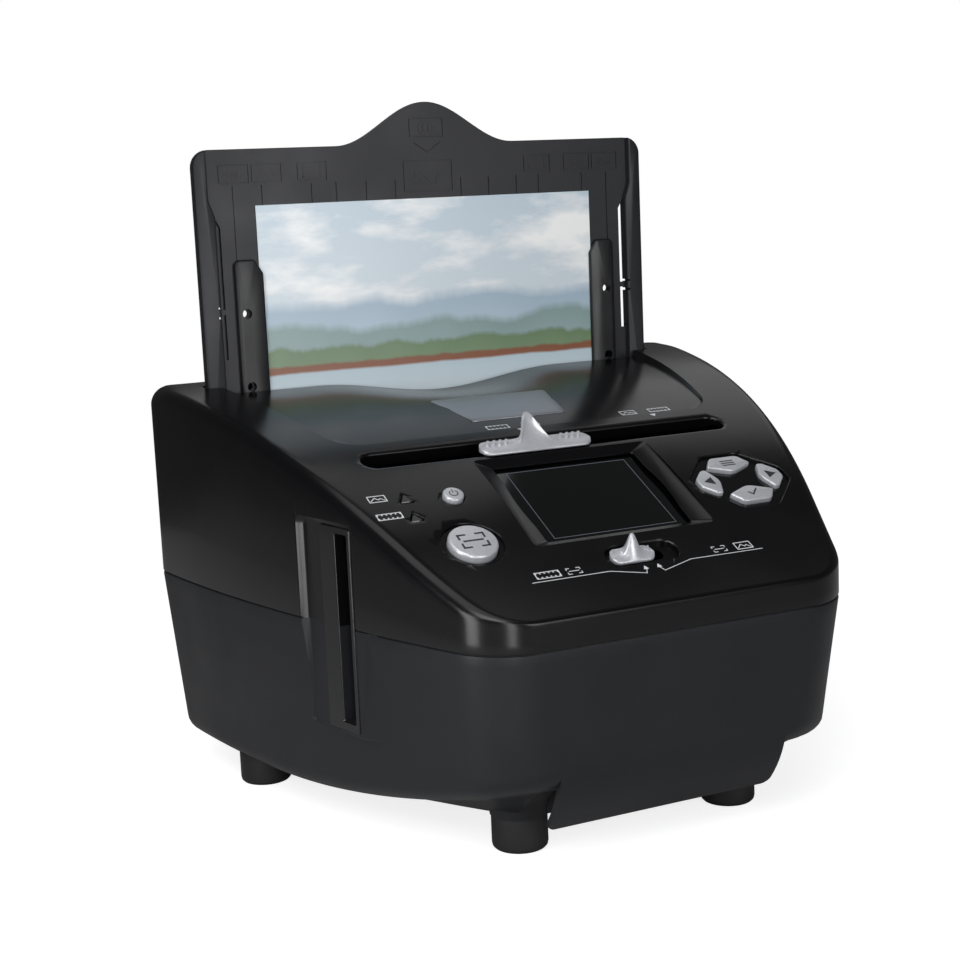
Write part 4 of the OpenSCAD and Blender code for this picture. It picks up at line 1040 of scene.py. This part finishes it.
def engraveTray(tray):
    # scale marks, the boxes round the size signs and the arrow, all cut into the plate's face
    t, e, b = traySet, engraving, boxRows
    front, deep, w = t["plateFront"] - 0.5, t["plateFront"] + e["depth"], e["frame"]
    flat, uprights = [], []
    for x in e["marks"]:
        for side in (1, -1):
            uprights.append(boxMesh((side * x - e["width"] / 2, side * x + e["width"] / 2), (front, deep),
                (e["longLow"] if x > e["longFrom"] else e["shortLow"], e["top"])))
    frames = [(x0, x1, b["low"], b["high"]) for x0, x1, _ in sizeBoxes]
    frames += [(-b["centreHalf"], b["centreHalf"], b["centreLow"], b["centreHigh"]),
        (-b["signHalf"], b["signHalf"], b["signLow"], b["signHigh"])]
    ys = (front, deep - 0.1)
    for x0, x1, z0, z1 in frames:
        flat += [boxMesh((x0, x1), ys, (z0, z0 + w)), boxMesh((x0, x1), ys, (z1 - w, z1))]
        uprights += [boxMesh((x0, x0 + w), ys, (z0 + w / 2, z1 - w / 2)),
            boxMesh((x1 - w, x1), ys, (z0 + w / 2, z1 - w / 2))]
    flat.append(layered(ccw(e["arrow"]), upright, [(0, deep), (0, front)]))
    cutAway(tray, [joined(flat), joined(uprights)])


def makeTray():
    t, b, h = traySet, boxRows, backHoles
    rows = [(-0.3, t["back"]), (0, t["back"] - 0.3), (0, t["plateFront"] + 0.3), (-0.3, t["plateFront"])]
    tray = newPiece("photoTray", *layered(trayOutline(), upright, rows), look["tray"], "tray", "photo_tray")
    corner = arcPoints(t["half"] - t["corner"], t["shoulder"] - t["corner"], t["corner"], 0, 78, 8)
    rail = [(t["half"], t["low"])] + corner + [(t["railUpper"], t["jogHigh"]),
        (t["railLower"], t["jogLow"]), (t["railLower"], t["low"])]
    rows = [(0, t["back"] - 0.5), (0, t["railFront"] + 0.8), (-0.25, t["railFront"] + 0.24),
        (-0.8, t["railFront"])]
    rails = [layered(mirrored(rail, side), upright, rows) for side in (1, -1)]
    crossBar = boxMesh((1 - t["half"], t["half"] - 1), (t["railFront"], t["back"] - 0.4),
        (t["low"], t["barTop"]))
    cutAway(tray, rails + [crossBar], "UNION")
    cutSideSlots(tray)
    engraveTray(tray)
    holes, rows = [], [(0, t["back"] + 1), (0, t["plateFront"] - 1)]
    for side in (1, -1):
        for z0, z1 in h["rows"]:
            hole = shifted(rectangle(h["width"], z1 - z0, h["corner"]), side * h["x"], (z0 + z1) / 2)
            holes.append(layered(hole, upright, rows))
        for z in guideSet["pins"]:
            holes.append(layered(shifted(disc(h["pin"], 24), side * h["pinX"], z), upright, rows))
    cutAway(tray, [joined(holes)])
    softenShade(tray, 30)

    def on(x, z):
        return lambda u, v, n: toWorld(x + u, t["plateFront"] - n, z + v)
    line, raised = engraving["signLine"], engraving["raised"]
    for i, (x0, x1, text) in enumerate(sizeBoxes):
        place = on((x0 + x1) / 2, (b["low"] + b["high"]) / 2)
        if text == "card":
            card = barFrame(7.6, 4.2, line)
            card += [bar(-2.4, 0.7, 2.4, 0.7, line), bar(-2.4, -0.7, 0.8, -0.7, line)]
            printed("trayCard" + str(i), card, place, 0.0, "tray", "tray", raised)
        else:
            lettering("traySize" + str(i), text, 3.6, place, raised)
    lettering("traySizeCentre", "5x7", 6.6, on(0, (b["centreLow"] + b["centreHigh"]) / 2), raised)
    sign = ringPart(3.2, 0.4, 0, 360, 32) + [bar(-1.2, v, 1.2, v, line) for v in (-1.4, 1.4)]
    sign += [bar(u, -1.4, u, 1.4, line) for u in (-1.2, 1.2)]
    printed("traySign", sign, on(0, (b["signLow"] + b["signHigh"]) / 2), 0.0, "tray", "tray", raised)
    print("stage: tray")


def makeGuides():
    g, plateFront = guideSet, traySet["plateFront"]
    shape = [(g["inside"], g["low"]), (g["outside"], g["low"]), (g["outside"], g["high"] - 1.6),
        (g["outside"] - 1.6, g["high"]), (g["inside"] + 3.4, g["high"]), (g["inside"], g["high"] - 5.6)]
    outline = roundCorners(shape, [0.3, 0.3, 1.5, 1.5, 2.0, 2.0], 4)
    rows = [(0, plateFront - 0.2), (0, g["front"] + 0.9), (-0.3, g["front"] + 0.25), (-0.9, g["front"])]
    for side, name in ((1, "right"), (-1, "left")):
        guide = newPiece(name + "Guide", *layered(mirrored(outline, side), upright, rows), look["guide"],
            "guide_" + name, "tray_guide_" + name, smooth=34)
        # the print's edge runs in a groove behind the guide's lip
        cutAway(guide, [boxMesh((side * (g["inside"] - 1), side * g["groove"]),
            (g["grooveFront"], plateFront + 1), (g["low"] - 1, g["high"] + 1))])
        cutAway(guide, [layered(shifted(disc(g["pin"], 28), side * g["pinX"], z), upright,
            [(0, plateFront + 1), (0, g["front"] - 1)]) for z in g["pins"]])
        softenShade(guide, 34)
    print("stage: guides")


def makePrint():
    p = printSet
    half, top = p["width"] / 2, p["low"] + p["height"]
    face = [(-half, p["low"]), (half, p["low"]), (half, top), (-half, top)]
    sheet = newPiece("loadedPrint", *layered(face, upright, [(0, p["back"]), (0, p["front"])]), look["paper"],
        "print", "photo_print", smooth=20)
    sheet.data.materials.append(look["photo"])
    for polygon in sheet.data.polygons:
        if polygon.normal.y < -0.5:
            polygon.material_index = 1
    print("stage: print")


# Printed signs on the panel: pictograms of a film strip, a picture and a corner frame
signSet = dict(line=0.35, thin=0.3, ink=(-0.02, 0.05), slotArrows=((-6.4, 100.4), (52.1, 100.4)),
    filmFirst=(-6.0, 106.2), pictureFirst=(52.0, 106.4), picture=(-80.5, 66.2), film=(-80.0, 56.6),
    lens=(31.0, 20.9), leader=((45.6, 18.1), (16.0, 18.2), (3.6, 14.8), (2.6, 16.6)), tip=17.0)


def onFeed(x, y, n):
    return onSurface(x, y, n, lambda a, b: feedDepth(b) + dip(a, b))


def makeSigns():
    g, ink = signSet, []

    def add(shapes, x, y, sunk=False):
        patch = Patch(x, y)
        for shape in shapes:
            ink.append(loftRings([[(onFeed(x + u, y + v * math.cos(patch.angle), k) if sunk
                else patch.wrap(u, v, k)) for u, v in shape] for k in g["ink"]]))

    def moved(shapes, du):
        return [shifted(s, du, 0) for s in shapes]
    down = [ccw([(-1.3, 0.9), (1.3, 0.9), (0, -1.1)])]
    strip = barFrame(9.0, 3.2, g["line"])
    strip += [bar(-4.2 + i * 1.68, v, -4.2 + i * 1.68, v * 1.01, 0.5) for v in (1.0, -1.0) for i in range(6)]
    picture = barFrame(6.4, 3.6, g["line"])
    picture += strokes([(-2.6, -1.1), (-0.8, 0.7), (0.4, -0.6), (1.2, 0.2), (2.6, -1.2)], g["thin"])
    for place in g["slotArrows"]:
        add(down, *place)
    add(moved(strip, -7.5) + moved(picture, 6.5), *g["filmFirst"], True)
    add(moved(strip, 6.0) + moved(picture, -8.0), *g["pictureFirst"], True)
    add(picture, *g["picture"])
    add(strip, *g["film"])
    quarters = [(su, sv) for su in (-1, 1) for sv in (-1, 1)]
    corners = [bar(su * 2.6, sv * 1.5, su * 1.4, sv * 1.5, g["thin"]) for su, sv in quarters]
    corners += [bar(su * 2.6, sv * 1.5, su * 2.6, sv * 0.7, g["thin"]) for su, sv in quarters]
    corners.append(bar(-1.8, 0, 1.8, 0, g["thin"]))
    lensX, lensY = g["lens"]
    for side, kind, shift in ((-1, strip, -0.6), (1, picture, -0.5)):
        # an underlined sign, whose line runs on to an arrow at the lens switch
        add(moved(kind, side * 8.0) + moved(corners, -side * 2.0), side * lensX, lensY)
        for (x0, y0), (x1, y1) in zip(g["leader"][:-1], g["leader"][1:]):
            add([bar(side * x0 + shift, 0, side * x1 + shift, (y1 - y0) * 1.1, 0.28)], 0, y0)
        tip = side * g["leader"][-1][0] + shift
        add([ccw([(tip - 1.0, -0.3), (tip + 1.0, -0.3), (tip, 1.6)])], 0, g["tip"])
    newPiece("panelSigns", *joined(ink), look["ink"], "case")
    print("stage: signs")


def makeFeet():
    r = footSet["size"] / 2
    profile = [(r - 1.8, 0), (r - 0.9, 0.15), (r - 0.25, 0.8), (r, 1.9), (r, 12.4)]
    parts = [turned(x, y, profile, 48) for x, y in footSet["places"]]
    newPiece("rubberFeet", *joined(parts), look["rubber"], "case", "rubber_feet")
    print("stage: feet")


def makeLenses():
    for kind, node in (("photoLed", "photo_led_lens"), ("filmLed", "film_led_lens")):
        outline = shifted(ledOutline(), *clusterSet[kind])
        lens = layered(outline, leftPatch.flat, ((-0.05, -8.0), (-0.05, -0.5), (-0.3, -0.25)))
        newPiece(kind + "Lens", *lens, look["smoked"], "case", node)
    print("stage: lenses")


nodeFinish = dict(glass="lcd_window", switch="tact_switches", clear="closeup_lens photo_glass",
    dark="lcd_module backlight_carriage closeup_slider lens_barrel lens_mount film_guide_front "
        "film_guide_rear photo_window_frame tray_runner_left tray_runner_right",
    board="left_key_board right_key_board sensor_board main_board", opal="backlight_diffuser light_bars",
    steel="carriage_rails usb_socket card_socket housing_screws")


def dressNodes():
    for finish, names in nodeFinish.items():
        for name in names.split():
            materials = bpy.data.objects[name].data.materials
            materials.clear()
            materials.append(look[finish])
    print("stage: inner parts")


# Table and lights
studioSet = dict(worldGrey=0.06, tableTone="#c4c4c5", tableGlow=0.8, tableHalf=0.55)
softboxes = dict(  # place, target, size in metres, watts
    keySoftbox=((-0.75, -0.75, 1.05), (0, 0, 0.12), (0.8, 0.8), 9.0),
    rearSoftbox=((0.75, 1.15, 1.0), (0, 0, 0.12), (1.2, 0.7), 1.5),
    topSoftbox=((-0.35, -0.15, 1.6), (0, 0, 0.1), (1.1, 1.1), 5.0),
    panelSoftbox=((0.55, 1.05, 1.65), (0, 0, 0.1), (0.8, 0.8), 1.1),
    sideStrip=((-0.317, -0.135, 0.104), (-0.067, -0.094, 0.086), (0.085, 0.2), 0.3),
    cornerStrip=((-0.166, -0.331, 0.104), (-0.06, -0.103, 0.086), (0.055, 0.2), 0.18),
    frontStrip=((0.3, -1.35, 0.4), (0, 0, 0.18), (0.6, 0.8), 6.0))


def addLight(name, place, target, size, power):
    data = bpy.data.lights.new(name, "AREA")
    data.shape, data.size, data.size_y, data.energy = "RECTANGLE", size[0], size[1], power
    light = bpy.data.objects.new(name, data)
    light.location = place
    light.rotation_euler = (Vector(target) - Vector(place)).to_track_quat("-Z", "Y").to_euler()
    light.visible_camera = False
    bpy.context.collection.objects.link(light)
    return light


def studioPaper(name, colour, glow):
    # the camera sees the paper burnt out to white, and the object only its plain tone
    material, tree, shader = newMaterial(name, colour, 0.85, Specular_IOR_Level=0.1)
    seen = addNode(tree, "ShaderNodeLightPath").outputs["Is Camera Ray"]
    shader.inputs["Emission Color"].default_value = (1, 1, 1, 1)
    strength = addNode(tree, "ShaderNodeMath", {"operation": "MULTIPLY", 1: glow}, {0: seen})
    drive(tree, shader, "Emission Strength", strength.outputs[0])
    return material


def makeStudio():
    t, w = studioSet, studioSet["tableHalf"]
    newPiece("studioTable", [(-w, -w, 0), (w, -w, 0), (w, w, 0), (-w, w, 0)], [(0, 1, 2, 3)],
        studioPaper("pale studio paper", t["tableTone"], t["tableGlow"]))
    [addLight(name, *facts) for name, facts in softboxes.items()]
    world = bpy.data.worlds.new("studio")
    world.use_nodes = True
    tree = world.node_tree
    seen = addNode(tree, "ShaderNodeLightPath").outputs["Is Camera Ray"]
    background = tree.nodes["Background"]
    background.inputs["Color"].default_value = (1, 1, 1, 1)
    drive(tree, background, "Strength", remap(tree, seen, toLow=t["worldGrey"], toHigh=1.0))
    bpy.context.scene.world = world
    bpy.context.scene.view_settings.view_transform = "Standard"
    print("stage: studio")


for makeStage in (makeUpperHousing, makeLowerHousing, makeButtons, makeSelectors, makePanelParts, makeTray,
        makeGuides, makePrint, makeSigns, makeFeet, makeLenses, dressNodes, makeStudio, makeCamera):
    makeStage()
